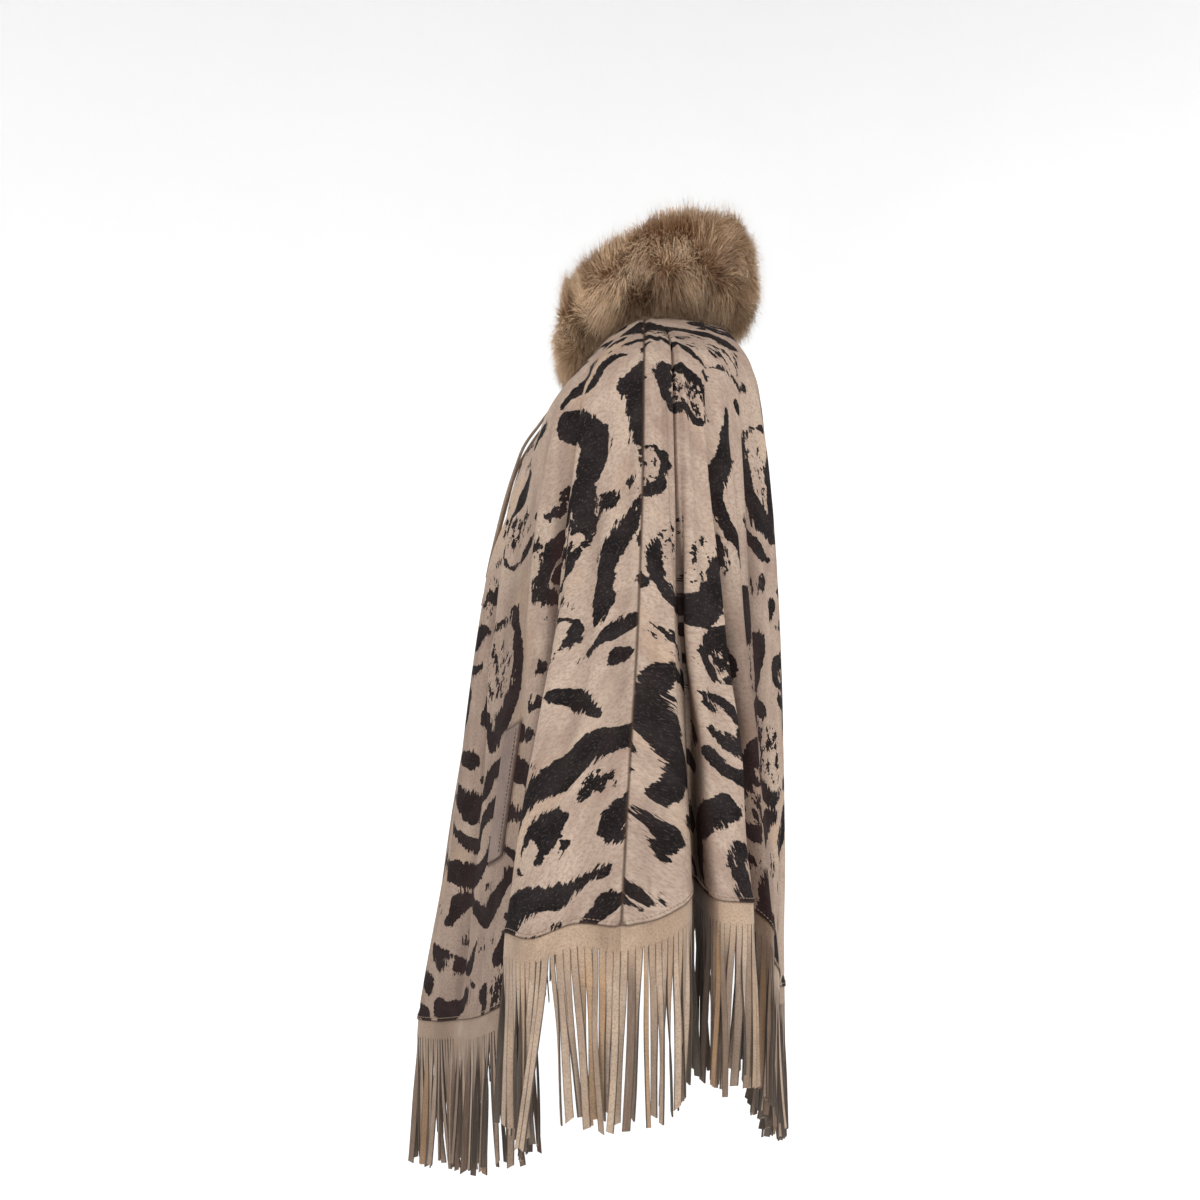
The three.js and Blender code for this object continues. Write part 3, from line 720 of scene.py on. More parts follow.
def leaned(centre, x, y, lean):
    """Places about a centre, turned by lean in radians."""
    c, s = math.cos(lean), math.sin(lean)
    return np.stack([centre[0] + x * c - y * s, centre[1] + x * s + y * c], axis=1)


def ring_stroke(centre, size, lean, gap_at, gap, thick, rng):
    """An open or closed rosette ring, thick on one side and thin on the other."""
    t = np.linspace(gap / 2, 2 * math.pi - gap / 2, 60) + gap_at
    wobble = 1 + ripple(rng, t, 2, 0.10) + ripple(rng, t, 3, 0.08)
    wobble += ripple(rng, t, 5, 0.05)
    at = leaned(centre, size[0] * wobble * np.cos(t), size[1] * wobble * np.sin(t), lean)
    heavy = rng.uniform(0, 2 * math.pi)
    half = thick * (0.66 + 0.40 * np.cos(t - heavy) + ripple(rng, t, 4, 0.16))
    return at, np.maximum(half, 2.4)


def blob_stroke(centre, radius, lean, broad, rng):
    """A solid patch with an uneven edge."""
    reach = radius * (rng.uniform(0.2, 0.7) + 1.1 * (broad - 1))
    t = np.linspace(-1, 1, 14)
    bend = rng.uniform(-0.3, 0.3) * radius * (t**2 - 0.5)
    half = radius * (0.72 + ripple(rng, t, 3, 0.16) + ripple(rng, t, 7, 0.08))
    return leaned(centre, t * reach, bend, lean), half


# Long bands by panel: three or more points (across, down) on the flat cloth with half widths.
BANDS = {
    "front_left": [
        ([(112, 250), (100, 300), (92, 352)], [4, 8, 5]),
        ([(60, 560), (105, 500), (150, 455), (196, 428)], [6, 10, 11, 7]),
        ([(52, 640), (108, 612), (160, 566), (210, 556)], [5, 10, 8, 4]),
        ([(-190, 418), (-118, 436), (-50, 424), (24, 442)], [5, 9, 8, 5]),
        ([(-195, 454), (-126, 472), (-58, 458), (14, 476)], [4, 8, 7, 4]),
        ([(-196, 492), (-130, 508), (-62, 496), (4, 514)], [5, 9, 7, 4]),
        ([(-175, 545), (-120, 530), (-70, 548), (-15, 530)], [5, 7, 9, 5]),
        ([(150, 330), (172, 372), (206, 390), (230, 372)], [6, 9, 8, 5]),
        ([(20, 150), (54, 182), (60, 236)], [6, 9, 5]),
        ([(-200, 620), (-150, 640), (-105, 622)], [5, 9, 6]),
    ],
    "front_right": [
        ([(-92, 262), (-108, 330), (-84, 402), (-96, 470)], [5, 9, 10, 5]),
        ([(-200, 455), (-150, 480), (-104, 530), (-60, 560)], [6, 11, 9, 5]),
        ([(-190, 588), (-140, 570), (-88, 610), (-40, 632)], [6, 9, 10, 5]),
        ([(20, 430), (76, 448), (120, 424), (170, 440)], [5, 8, 8, 4]),
        ([(10, 500), (60, 476), (112, 492), (168, 474)], [5, 9, 7, 5]),
        ([(40, 250), (22, 306), (46, 352)], [5, 9, 5]),
        ([(-60, 150), (-30, 190), (-50, 240)], [5, 9, 6]),
        ([(110, 600), (158, 622), (204, 606)], [5, 9, 6]),
    ],
    "back": [
        ([(-490, 330), (-452, 312), (-420, 280)], [5, 8, 5]),
        ([(-486, 500), (-440, 470), (-396, 418), (-340, 402)], [4, 8, 9, 5]),
        ([(-300, 600), (-244, 560), (-196, 548), (-140, 500)], [5, 9, 10, 6]),
        ([(-120, 300), (-76, 262), (-58, 202), (-20, 170)], [5, 9, 9, 5]),
        ([(-60, 560), (-20, 500), (36, 480), (70, 430)], [6, 11, 10, 5]),
        ([(120, 610), (160, 552), (214, 530), (250, 480)], [5, 10, 9, 5]),
        ([(60, 330), (112, 300), (160, 318), (208, 282)], [5, 9, 9, 5]),
        ([(300, 560), (336, 500), (330, 440), (366, 392)], [6, 9, 9, 5]),
        ([(380, 330), (430, 300), (470, 312)], [6, 10, 5]),
        ([(430, 500), (470, 452), (520, 440)], [6, 10, 6]),
        ([(-200, 180), (-232, 240), (-214, 300)], [5, 9, 5]),
        ([(210, 150), (236, 204), (222, 260)], [5, 9, 5]),
        ([(-430, 560), (-392, 520), (-350, 500)], [5, 9, 6]),
    ],
}
# The kinds that fill the room: how many tries, size range in mm, and how thick the brush is.
FILLERS = [
    # kind, tries, least, most, thick
    ("ring", 520, 32, 46, 11.5),
    ("ring", 700, 22, 31, 10.5),
    ("stroke", 120, 18, 30, 9.0),
    ("ring", 300, 16, 23, 7.5),
    ("flecks", 260, 14, 24, 0),
    ("ring", 700, 13, 20, 6.5),
    ("blob", 900, 7, 12, 0),
    ("flecks", 400, 8, 13, 0),
    ("blob", 900, 3.5, 6.5, 0),
]
FAR = 20.0  # mm: what a point with no ink or edge near it is given
MOTIF_ROOM = 4.0  # bare cloth between two motifs, mm
BAND_WEIGHT = 1.28  # the brush is this much wider than the bands' half widths


def print_layout(name, span, rng):
    """Strokes and fleck patches over a panel's flat cloth."""
    strokes, patches, taken = [], [], []

    def take(points, radii):
        taken.append(np.column_stack([points, radii]))

    def claim(points, radii):
        """Take the room if it is free."""
        radii = np.broadcast_to(radii, len(points))
        have = np.vstack(taken)
        apart = np.linalg.norm(points[:, None] - have[None, :, :2], axis=2)
        free = bool(np.all(apart > radii[:, None] + have[None, :, 2] + MOTIF_ROOM))
        if free:
            take(points, radii)
        return free

    for points, widths in BANDS[name]:
        at, half = stroke_points(points, widths)
        half = half * BAND_WEIGHT * (1 + ripple(rng, np.linspace(0, 9, len(half)), 1, 0.14))
        strokes.append((at, half))
        take(at[::3], half[::3])
    low, high = span
    for kind, tries, least, most, thick in FILLERS:
        for _ in range(tries):
            centre = np.array([rng.uniform(low[0], high[0]), rng.uniform(low[1], high[1])])
            size = rng.uniform(least, most)
            lean = rng.uniform(-0.5, 1.1)
            broad = 1 + 0.90 * ease((90 - centre[0]) / 190) * (name != "back")
            if kind == "ring":
                shape = (size * rng.uniform(0.66, 0.9) * broad, size * rng.uniform(1.0, 1.25))
                if not claim(centre[None], size * 1.05 * max(1, 0.88 * broad) + thick * 0.5):
                    continue
                gap = rng.choice([0.25, 0.7, 1.2, 2.1])
                strokes.append(ring_stroke(centre, shape, lean, rng.uniform(0, TURN), gap, thick, rng))
                if size > 16 and rng.uniform() < 0.85:
                    patches.append((centre, size * 0.78, rng.uniform(0.35, 1.0)))
            elif kind == "stroke":
                way = np.array([math.cos(lean), -math.sin(lean)])
                side_way = np.array([way[1], -way[0]])
                bow = rng.uniform(-0.5, 0.5) * size
                points = [centre - way * size, centre + side_way * bow, centre + way * size]
                half = [thick * 0.5, thick * rng.uniform(0.8, 1.2), thick * 0.45]
                at, half = stroke_points(points, half, 20)
                if claim(at[::3], half[::3]):
                    strokes.append((at, half))
            elif kind == "flecks":
                if claim(centre[None], size):
                    patches.append((centre, size * 0.9, rng.uniform(0.5, 1.0)))
            elif claim(centre[None], size * (1.15 + 0.7 * (broad - 1))):
                strokes.append(blob_stroke(centre, size, lean * (2 - broad), broad, rng))
    return strokes, patches


def wander(flat, seed):
    """The flat places moved about a little, so that no motif has a plain outline."""
    rng = np.random.default_rng(seed + 100)
    moved = flat.copy()
    for size, amount in ((130, 5.0), (80, 3.0), (46, 2.4), (28, 1.7)):
        for axis in (0, 1):
            way = rng.normal(size=2)
            way /= np.linalg.norm(way)
            moved[:, axis] += amount * np.sin(flat @ way * 2 * math.pi / size + rng.uniform(0, TURN))
    return moved


def ink_field(flat, strokes):
    """How far inside the nearest stroke each point is, in mm; outside is below zero."""
    ink = np.full(len(flat), -FAR)
    for at, half in strokes:
        edge = half.max() + 18
        low, high = at.min(axis=0) - edge, at.max(axis=0) + edge
        near = np.where(np.all((flat > low) & (flat < high), axis=1))[0]
        if not len(near):
            continue
        apart = np.linalg.norm(flat[near][:, None] - at[None], axis=2)
        ink[near] = np.maximum(ink[near], (half[None] - apart).max(axis=1))
    return ink


def fleck_field(flat, patches):
    density = np.zeros(len(flat))
    for centre, reach, amount in patches:
        apart = np.linalg.norm(flat - centre, axis=1)
        density = np.maximum(density, amount * ease((reach - apart) / 10 + 0.5))
    return density


# ---------- panels ----------
GRID = 5.0  # mm between points
YOKE_ROWS = 46
FALL_ROWS = 110
LAST_ROW = 0.9965  # the level of the row above the hem, close to it to round its edge
HEM_ROLL = 0.9  # the hem's turned edge stands out by this much
TROUGH_DEPTH = 7.0  # mm at which a trough has all its shade
TROUGH_SHADE = 0.36
INNER_SHIFT = 1000  # mm on the flat cloth, so that the inner face has grain of its own
# along the hem, in mm: narrow gaps are left at the centre front and at the side seams
FRONT_SPAN = (0.15, SEAM_ALONG - 0.02)
BACK_SPAN = (SEAM_ALONG + 0.02, HEM_LENGTH)


def flat_map(points, middle_column):
    """Each point's place on the cloth before it hung: across from the middle, and down."""
    across = np.linalg.norm(np.diff(points, axis=1), axis=2)
    u = np.concatenate([np.zeros((len(points), 1)), np.cumsum(across, axis=1)], axis=1)
    u -= u[:, middle_column : middle_column + 1]
    fall = np.linalg.norm(np.diff(points, axis=0), axis=2)
    v = np.concatenate([np.zeros((1, points.shape[1])), np.cumsum(fall, axis=0)], axis=0)
    return np.stack([u, v], axis=-1)


def edge_roll(to_seam, to_hem):
    """How far the wall's edge rolls in at a side seam and out at the hem, in mm."""
    seam = -1.3 * np.exp(-(to_seam / 3.0) ** 2) + 0.5 * np.exp(-((to_seam - 6.0) / 3.0) ** 2)
    hem = HEM_ROLL * np.exp(-(to_hem / 4.5) ** 2) - 0.5 * np.exp(-((to_hem - 9) / 2.5) ** 2)
    return seam + hem


def add_panel(name, along, side, seam_at_start, seed):
    """A panel: a thin wall with the print on its outer face. It ends at a side seam."""
    yoke = np.linspace(0, RING[-1, 0], YOKE_ROWS)
    fall = np.linspace(RING[-1, 0], 1, FALL_ROWS)
    levels = np.concatenate([yoke[:-1], fall[:-1], [LAST_ROW, 1.0]])
    down, a = np.meshgrid(levels, along, indexing="ij")
    s = np.broadcast_to(side, down.shape)
    base = cape_point(a, down, s)
    flat = flat_map(base, len(along) // 2)
    u = flat[..., 0]
    to_seam = np.minimum(u - u[:, :1], u[:, -1:] - u) if seam_at_start else u[:, -1:] - u
    to_hem = flat[-1:, :, 1] - flat[..., 1]
    normal, creases = cape_normal(a, down, s), crease_relief(a, down, s)
    relief = creases + edge_roll(to_seam, to_hem)
    outer = base + normal * relief[..., None]
    inner = base + normal * (np.minimum(relief, creases) - WALL)[..., None]
    points = np.concatenate([outer.reshape(-1, 3), inner.reshape(-1, 3)])
    walls = wall_faces(*u.shape, side[0] < 0 and side[-1] < 0)
    obj = add_mesh("cloth_" + name, points, np.vstack(walls), smooth_angle=60)
    obj.data.materials.append(PRINTED)
    obj.data.materials.append(FLESH)
    which = np.concatenate([np.full(len(quads), k == 1, dtype=np.int32) for k, quads in enumerate(walls)])
    obj.data.polygons.foreach_set("material_index", which)
    flat_points = flat.reshape(-1, 2)
    store_uv(obj, np.vstack([flat_points, flat_points + INNER_SHIFT]))
    rng = np.random.default_rng(seed)
    strokes, patches = print_layout(name, (flat_points.min(axis=0), flat_points.max(axis=0)), rng)
    printed = wander(flat_points, seed)
    # painted shade in the troughs of the creases
    trough = np.clip(-creases / TROUGH_DEPTH, 0, 1) * ease((down - 0.25) / 0.15)
    shade = 1 - (1 - fold_shade(a, down, s)) * (1 - TROUGH_SHADE * trough)
    if name != "back":
        shade = np.maximum(shade, welt_shadow(a, down))
    store_walls(obj, "edge", np.minimum(to_seam, to_hem), FAR)
    store_walls(obj, "shade", shade, 0)
    store_walls(obj, "ink", ink_field(printed, strokes), -FAR)
    store_walls(obj, "fleck", fleck_field(printed, patches), 0)
    cell_width = np.linalg.norm(np.diff(base[:-1], axis=1), axis=2)
    cell_height = np.linalg.norm(np.diff(base, axis=0)[:, :-1], axis=2)
    area = (cell_width * cell_height).sum() * MM**2
    return obj


def even(first, last):
    return np.linspace(first, last, int(round((last - first) / GRID)) + 1)


front_along = even(*FRONT_SPAN)
back_left = even(*BACK_SPAN)
back_along = np.concatenate([back_left, back_left[::-1][1:]])
back_side = np.repeat([1.0, -1.0], [len(back_left), len(back_left) - 1])
PANELS = {
    "front_left": add_panel("front_left", front_along, np.ones(len(front_along)), False, 11),
    "front_right": add_panel("front_right", front_along, -np.ones(len(front_along)), False, 23),
    "back": add_panel("back", back_along, back_side, True, 37),
}
for name, panel in PANELS.items():
    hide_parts(name)


# ---------- fringe ----------
# Where the strands part: line counts fold lines, spread is how far they lean away, as a share of
# their length, and reach is in mm along the hem.
PARTINGS = [
    # side, line, spread, reach
    (1, 6.45, 0.12, 24),
    (1, 3.10, 0.05, 30),
    (1, 8.60, 0.03, 26),
    (1, 1.30, 0.06, 30),
    (-1, 5.60, 0.12, 30),
    (-1, 7.80, 0.07, 24),
    (-1, 2.30, 0.06, 34),
    (1, 12.60, 0.06, 22),
    (-1, 13.40, 0.07, 24),
    (1, 16.30, 0.06, 30),
    (-1, 17.20, 0.06, 36),
    (1, 18.60, 0.05, 30),
]
SEGMENTS = 14  # along a strand
BUNCH = 3.4  # mm that a tip moves towards the middle of its bunch
STRIP_WARM = 0.34
# mm on the flat leather, so that inner faces have grain of their own
STRIP_SHIFT = 500
STRAND_SHIFT = 300


def strand_places(first, last):
    """The middle of each strand along the hem, and half its width there."""
    columns = int(round((last - first) / (STRAND_PITCH * STRANDS_PER_COLUMN)))
    count = columns * STRANDS_PER_COLUMN
    pitch = (last - first) / count
    return first + (np.arange(count) + 0.5) * pitch, pitch / 2


def hem_frame(along, side):
    """The hem's point, outward normal, direction along it, and the way that the strip hangs."""
    one = np.ones_like(along)
    point = cloth_point(along, one, side)
    normal = cape_normal(along, one, side)
    ahead = unit(cape_point(along + 2, one, side) - cape_point(along - 2, one, side))
    slope = unit(cape_point(along, one, side) - cape_point(along, one * 0.97, side))
    hang = unit(slope * np.array([HANG_SLOPE, HANG_SLOPE, 1]))
    return point, normal, ahead, hang


def strip_tint(along, seed):
    """The slow change of tone along a strip."""
    return 0.62 + 0.16 * np.sin(along / 37 + seed) + 0.10 * np.sin(along / 13.0 + 2 * seed)


class Band:
    """The points and faces of a slit band while it is made, and what its material reads."""

    def __init__(self):
        self.count = 0
        self.points, self.faces, self.which, self.flats = [], [], [], []
        self.looks = {"tint": [], "warm": [], "rim": [], "shade": []}

    def add(self, points, faces, which, flat, **looks):
        """A part, with faces that count from its own first point. which: 0 outer side, 1 flesh side."""
        self.points.append(points)
        self.faces.append(faces + self.count)
        self.which += which
        self.flats.append(flat)
        for look, values in looks.items():
            self.looks[look].append(values)
        self.count += len(points)


def add_strip(band, side, first, last, seed):
    """The uncut strip, a thin wall from just inside the hem to below the tops of the slits."""
    along = even(first, last)
    s = np.full_like(along, side)
    hem, normal, _, hang = hem_frame(along, s)
    steps = np.linspace(-0.2, SLIT_TOP + 1.5, 8)
    outer = np.array([hem + normal * -0.35 + hang * step for step in steps])
    inner = outer - normal[None] * FRINGE_WALL
    rows, columns = len(steps), len(along)
    count = rows * columns
    quads = grid_quads(rows, columns, 0, side < 0)
    back = grid_quads(rows, columns, count, side > 0)
    down = np.arange(rows) * columns
    edges = [down[-1] + np.arange(columns), down, down + columns - 1]
    rim = np.vstack([edge_quads(line, count) for line in edges])
    v, u = np.meshgrid(steps, along, indexing="ij")
    flat = np.stack([u, v], axis=-1).reshape(-1, 2)
    band.add(
        np.concatenate([outer.reshape(-1, 3), inner.reshape(-1, 3)]),
        np.vstack([quads, back, rim]),
        [0] * len(quads) + [1] * len(back) + [0] * len(rim),
        np.vstack([flat, flat + STRIP_SHIFT]),
        tint=np.tile(strip_tint(along, seed), 2 * rows),
        warm=np.repeat([STRIP_WARM, 0.0], count),
        rim=np.zeros(2 * count),
        shade=np.tile(fold_shade(along, 1.0, s), 2 * rows),
    )


def add_strand(band, rng, seed, side, number, place, root, normal, ahead, width, length):
    """A strand: a flat strip that leans, twists and curls as it falls. width is half of its own."""
    length = length + rng.uniform(-7, 5) + (rng.uniform(-12, 0) if rng.uniform() < 0.12 else 0)
    twist = rng.normal(0, 0.62)
    if rng.uniform() < 0.24:
        twist = rng.choice([-1, 1]) * rng.uniform(0.95, 1.5)
    # strands gather in loose bunches and leave gaps between them
    bunch = BUNCH * math.sin(place / 9.6 + 2.2 * math.sin(place / 41.0 + seed) + seed)
    lean = bunch / length * side + rng.normal(0, 0.013)
    for part_side, line, spread, reach in PARTINGS:
        if part_side == side:
            gap = place - knot_at(line)
            lean += spread * np.sign(gap) * math.exp(-abs(gap) / reach) * side
    out = rng.uniform(-0.075, 0.035) + (0.016 if number % 2 else -0.016)
    curl = rng.normal(0, 0.020)
    phase, wave = rng.uniform(0, TURN), rng.uniform(0.5, 2.2)
    tip_cut = rng.uniform(-3.0, 3.0)
    width = width * (rng.uniform(0.62, 0.80) if rng.uniform() < 0.14 else rng.uniform(0.98, 1.12))
    starts = rng.uniform(0.05, 0.18)
    side_ahead = ahead * side
    level = unit(normal * np.array([1, 1, 0]))
    corners = []
    for k in range(SEGMENTS + 1):
        t = k / SEGMENTS
        free = ease((t - 0.02) / 0.5)
        turn = twist * ease((t - starts * 0.4) / (0.55 + starts))
        middle = root + np.array([0, 0, -(t * length)])
        middle = middle + side_ahead * (lean * length * t**1.25 + wave * math.sin(3.3 * t + phase) * free)
        middle = middle + level * (out * length * t**1.4 + curl * length * t**3)
        wide = ahead * math.cos(turn) + normal * math.sin(turn)
        deep = normal * math.cos(turn) - ahead * math.sin(turn)
        cup = 0.35 * math.sin(phase) * free
        half_wide = width * (1 + 0.07 * ease(t / 0.5))
        skew = tip_cut if k == SEGMENTS else 0
        for edge, depth in ((-1, 0), (1, 0), (1, FRINGE_WALL), (-1, FRINGE_WALL)):
            drop = np.array([0, 0, edge * skew * 0.5])
            corners.append(middle + wide * (edge * half_wide) + deep * (cup - depth) + drop)
    end = 4 * SEGMENTS
    faces = np.array(tube_faces(SEGMENTS + 1, 4, True)[:-2] + [[end, end + 3, end + 2, end + 1]])
    t = np.repeat(np.linspace(0, length, SEGMENTS + 1), 4)
    across = np.tile([-width, width, width, -width], SEGMENTS + 1)
    inner = np.arange(len(t)) % 4 // 2
    # each strand's own tone, spread wide: partly the leather's own, partly painted light and shade of
    # twisted strands
    own = np.clip(rng.normal(0.52, 0.42), 0, 1)
    blend = np.clip(t / 30, 0, 1)
    warm = rng.uniform(0.5, 1.0) if rng.uniform() < 0.16 else rng.uniform(0, 0.25)
    band.add(
        np.array(corners),
        faces[:, ::-1] if side < 0 else faces,
        [0, 1, 1, 1] * SEGMENTS + [0],
        np.column_stack([place + across + inner * STRAND_SHIFT, SLIT_TOP + t]),
        tint=strip_tint(place, seed) * (1 - blend) + own * blend,
        warm=STRIP_WARM * (1 - blend) + warm * blend,
        rim=np.tile([-1.0, 1.0, 1.0, -1.0], SEGMENTS + 1),
        shade=float(fold_shade(place, 1.0, side)) * np.ones_like(t) + rng.uniform(0, 0.12) * blend,
    )


def add_fringe(name, parts, seed):
    """A slit band: a strip under the hem, and strands that twist and part below it."""
    rng = np.random.default_rng(seed)
    band = Band()
    for side, first, last in parts:
        add_strip(band, side, first, last, seed)
        places, half = strand_places(first, last)
        hem, normal, ahead, hang = hem_frame(places, np.full_like(places, side))
        apart = cape_point(places + half, 1, side) - cape_point(places - half, 1, side)
        width = np.linalg.norm(apart, axis=1) / 2
        root = hem + hang * SLIT_TOP - normal * 0.4
        lengths = smooth_through(LINE_KNOTS, LINE[:, 4], places, True) + STRIP_HEIGHT - SLIT_TOP
        for number, strand in enumerate(zip(places, root, normal, ahead, width, lengths)):
            add_strand(band, rng, seed, side, number, *strand)
    obj = add_mesh("strands_" + name, np.vstack(band.points), np.vstack(band.faces), smooth_angle=35)
    obj.data.materials.append(FRINGE_OUT)
    obj.data.materials.append(FRINGE_IN)
    obj.data.polygons.foreach_set("material_index", np.array(band.which, dtype=np.int32))
    store_uv(obj, np.vstack(band.flats))
    for look, values in band.looks.items():
        store(obj, look, np.concatenate(values))
    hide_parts("fringe_" + name)
    return obj


FRINGES = {
    "front_left": add_fringe("front_left", [(1, *FRONT_SPAN)], 3),
    "front_right": add_fringe("front_right", [(-1, *FRONT_SPAN)], 5),
    "back": add_fringe("back", [(1, *BACK_SPAN), (-1, *BACK_SPAN)], 8),
}


# ---------- stitches ----------
STITCH_SIDES = 5
STITCH_SHAPE = [(-0.5, 0.15), (-0.28, 0.9), (0.28, 0.9), (0.5, 0.15)]  # place along, thickness
HEM_SEAM = 3.4  # mm from the hem up to its stitches


def add_stitches(name, centres, heading, outward, length, radius, material):
    """Short threads, each a five-sided spindle, joined into one mesh."""
    heading, outward = unit(heading), unit(outward)
    third = np.cross(heading, outward)
    spindle = tube_faces(len(STITCH_SHAPE), STITCH_SIDES)[:-2]
    points, faces = [], []
    for i in range(len(centres)):
        faces += [[len(points) + k for k in face] for face in spindle]
        for place, size in STITCH_SHAPE:
            for k in range(STITCH_SIDES):
                a = 2 * math.pi * k / STITCH_SIDES
                offset = outward[i] * math.sin(a) + third[i] * math.cos(a)
                points.append(centres[i] + heading[i] * place * length + offset * radius * size)
    obj = add_mesh(name, points, faces)
    obj.data.materials.append(material)


def line_of_stitches(along, down, side, pitch, lift):
    """Even places on the cloth along a line, with the line's direction and the normal."""
    pts = cloth_point(along, down, side, lift)
    reach = np.concatenate([[0], np.cumsum(np.linalg.norm(np.diff(pts, axis=0), axis=1))])
    places = np.arange(pitch / 2, reach[-1], pitch)
    at = lambda table: np.stack([np.interp(places, reach, table[:, k]) for k in range(3)], axis=1)
    normal = cape_normal(along, down, side)
    heading = np.gradient(pts, axis=0)
    return at(pts), at(heading), at(normal)


hem_rows = []
for first, last in ((1, SEAM_ALONG - 1), (SEAM_ALONG + 1, HEM_LENGTH)):
    along = np.linspace(first, last, 400)
    for side in (1, -1):
        fall = np.linalg.norm(cape_point(along, 1, side) - cape_point(along, 0.99, side), axis=1) / 0.01
        sides = np.full_like(along, side)
        lift = HEM_ROLL * 0.56 + 0.1
        hem_rows.append(line_of_stitches(along, 1 - HEM_SEAM / fall, sides, pitch=3.3, lift=lift))
centres, heading, outward = (np.vstack(part) for part in zip(*hem_rows))
add_stitches("hem_stitches", centres, heading, outward, length=2.4, radius=0.42, material=THREAD)


# ---------- pocket welts ----------
def add_welt(name, side):
    """A smooth leather strip with rounded edges, and a row of stitches by its rear edge."""
    across = np.array([0, 0.02, 0.06, 0.12, 0.2, 0.35, 0.5, 0.65, 0.8, 0.9, 0.96, 1.0])
    fall = np.concatenate([[0, 0.004, 0.012], np.linspace(0.03, 0.97, 30), [0.988, 0.996, 1]])
    f, c = np.meshgrid(fall, across, indexing="ij")
    along, down = welt_place(f, c)
    edge = np.minimum(np.minimum(c, 1 - c) * WELT_WIDTH, np.minimum(f, 1 - f) * WELT_HEIGHT)
    crown = WELT_THICKNESS * np.sqrt(np.clip(1 - (1 - np.clip(edge / 2.2, 0, 1)) ** 2, 0, 1))
    groove = -0.35 * np.exp(-(((1 - c) * WELT_WIDTH - WELT_SEAM) ** 2))
    belly = 0.25 * np.sin(f * 23 + 1.0) * np.sin(c * 3.1) + 0.2 * np.sin(f * 9 + 2 * c)
    s = np.full_like(along, side)
    outer = cloth_point(along, down, s, 0.3 + crown + groove * (edge > 0.5) + belly * ease(edge / 5))
    under = cloth_point(along, down, s, np.full_like(along, 0.1))
    points = np.concatenate([outer.reshape(-1, 3), under.reshape(-1, 3)])
    obj = add_mesh("welt_" + name, points, np.vstack(wall_faces(*f.shape, side < 0)))
    obj.data.materials.append(WELT_LEATHER)
    store_walls(obj, "edge", edge, 0)
    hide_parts("pocket_welt_" + name)
    along, down = welt_place(np.linspace(0.03, 0.97, 200), 1 - WELT_SEAM / WELT_WIDTH)
    sides = np.full_like(along, side)
    row = line_of_stitches(along, down, sides, pitch=3.6, lift=WELT_THICKNESS + 0.40)
    add_stitches("welt_stitches_" + name, *row, length=2.3, radius=0.46, material=WELT_THREAD)


add_welt("left", 1)
add_welt("right", -1)


# ---------- fur collar ----------
PELT_ROUNDS = 110
PELT_TURNS = 26
PELT_SHARE = (0.52, 0.66)  # the pelt under the fur, as a share of the roll's half sizes
FRONT_LIFT = 25.0  # mm that the hair at the front stands above the solid's plain roll


def cape_height_under(bearing, out):
    """The cape's height under a place over the shoulder, from its shoulder rings. Bearing in radians."""
    ahead = np.cos(bearing)
    reach, z = [], []
    for ring in RING:
        depth = np.where(ahead > 0, -ring[2], ring[3])
        b = np.arctan2(np.sin(bearing) / ring[1], ahead / depth)
        x = ring[1] * np.sin(b)
        y = depth * np.abs(np.cos(b))
        reach.append(np.hypot(x, y))
        z.append(ring_height(ring, np.cos(b)))
    rise = (z[0] - z[1]) / (reach[1] - reach[0])
    height = np.where(out <= reach[0], z[0] + rise * (reach[0] - out), 0)
    for k in range(len(reach) - 1):
        share = (out - reach[k]) / (reach[k + 1] - reach[k])
        height = np.where((share > 0) & (share <= 1), z[k] + (z[k + 1] - z[k]) * share, height)
    return height


def fur_point(bearing, turn, share, floor):
    """A place on the roll, or at a share of its half sizes, and at least floor above the cape.

    Bearing is in degrees from the front, 0 to 360, and turn in radians round the roll's section.
    """
    away = np.where(bearing > 180, 360 - bearing, bearing)
    side = np.where(bearing > 180, -1, 1)
    out, z, half_across, half_up = (smooth_through(SECTION[:, 0], SECTION[:, k], away) for k in range(1, 5))
    reach = out + half_across * share[0] * np.cos(turn)
    b = np.radians(away)
    lift = FRONT_LIFT * ease((85 - away) / 45) * np.maximum(0, np.sin(turn))
    height = z + (half_up * np.sin(turn) + lift) * share[1]
    height = np.maximum(height, cape_height_under(b, reach) + floor)
    return np.stack([side * reach * np.sin(b), -reach * np.cos(b), height], axis=-1)


FIRST = SECTION[0, 0]
rounds = np.linspace(FIRST + 3, 360 - FIRST - 3, PELT_ROUNDS)
turns = np.arange(PELT_TURNS) / PELT_TURNS * 2 * math.pi
core = fur_point(*np.meshgrid(rounds, turns, indexing="ij"), PELT_SHARE, 2.0)
pelt_faces = tube_faces(PELT_ROUNDS, PELT_TURNS, turned=True)
pelt_roll = add_mesh("collar_pelt", core.reshape(-1, 3), pelt_faces, smooth_angle=60)
pelt_roll.data.materials.append(pelt())
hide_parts("fur_collar")


def scattered(points, size, seed):
    """Smooth repeatable noise from -1 to 1 at points in mm."""
    rng = np.random.default_rng(seed)
    total = np.zeros(len(points))
    for _ in range(9):
        way = rng.normal(size=3)
        way /= np.linalg.norm(way)
        total += np.sin(points @ way * (2 * math.pi / size) * rng.uniform(0.6, 1.6) + rng.uniform(0, TURN))
    return total / 4.0


FUR = fur("fur_hair")
BLADE_SHARES = [0, 0.35, 0.7, 1.0]  # places along a hair, from root to tip
BLADE_TAPER = [1, 0.85, 0.5]  # its width at all of them but the tip, where it is a point
BLADE_POINTS = 7
TUFT_BEARING = 5.0  # degrees round the collar
TUFT_TURN = 0.16  # radians round the roll


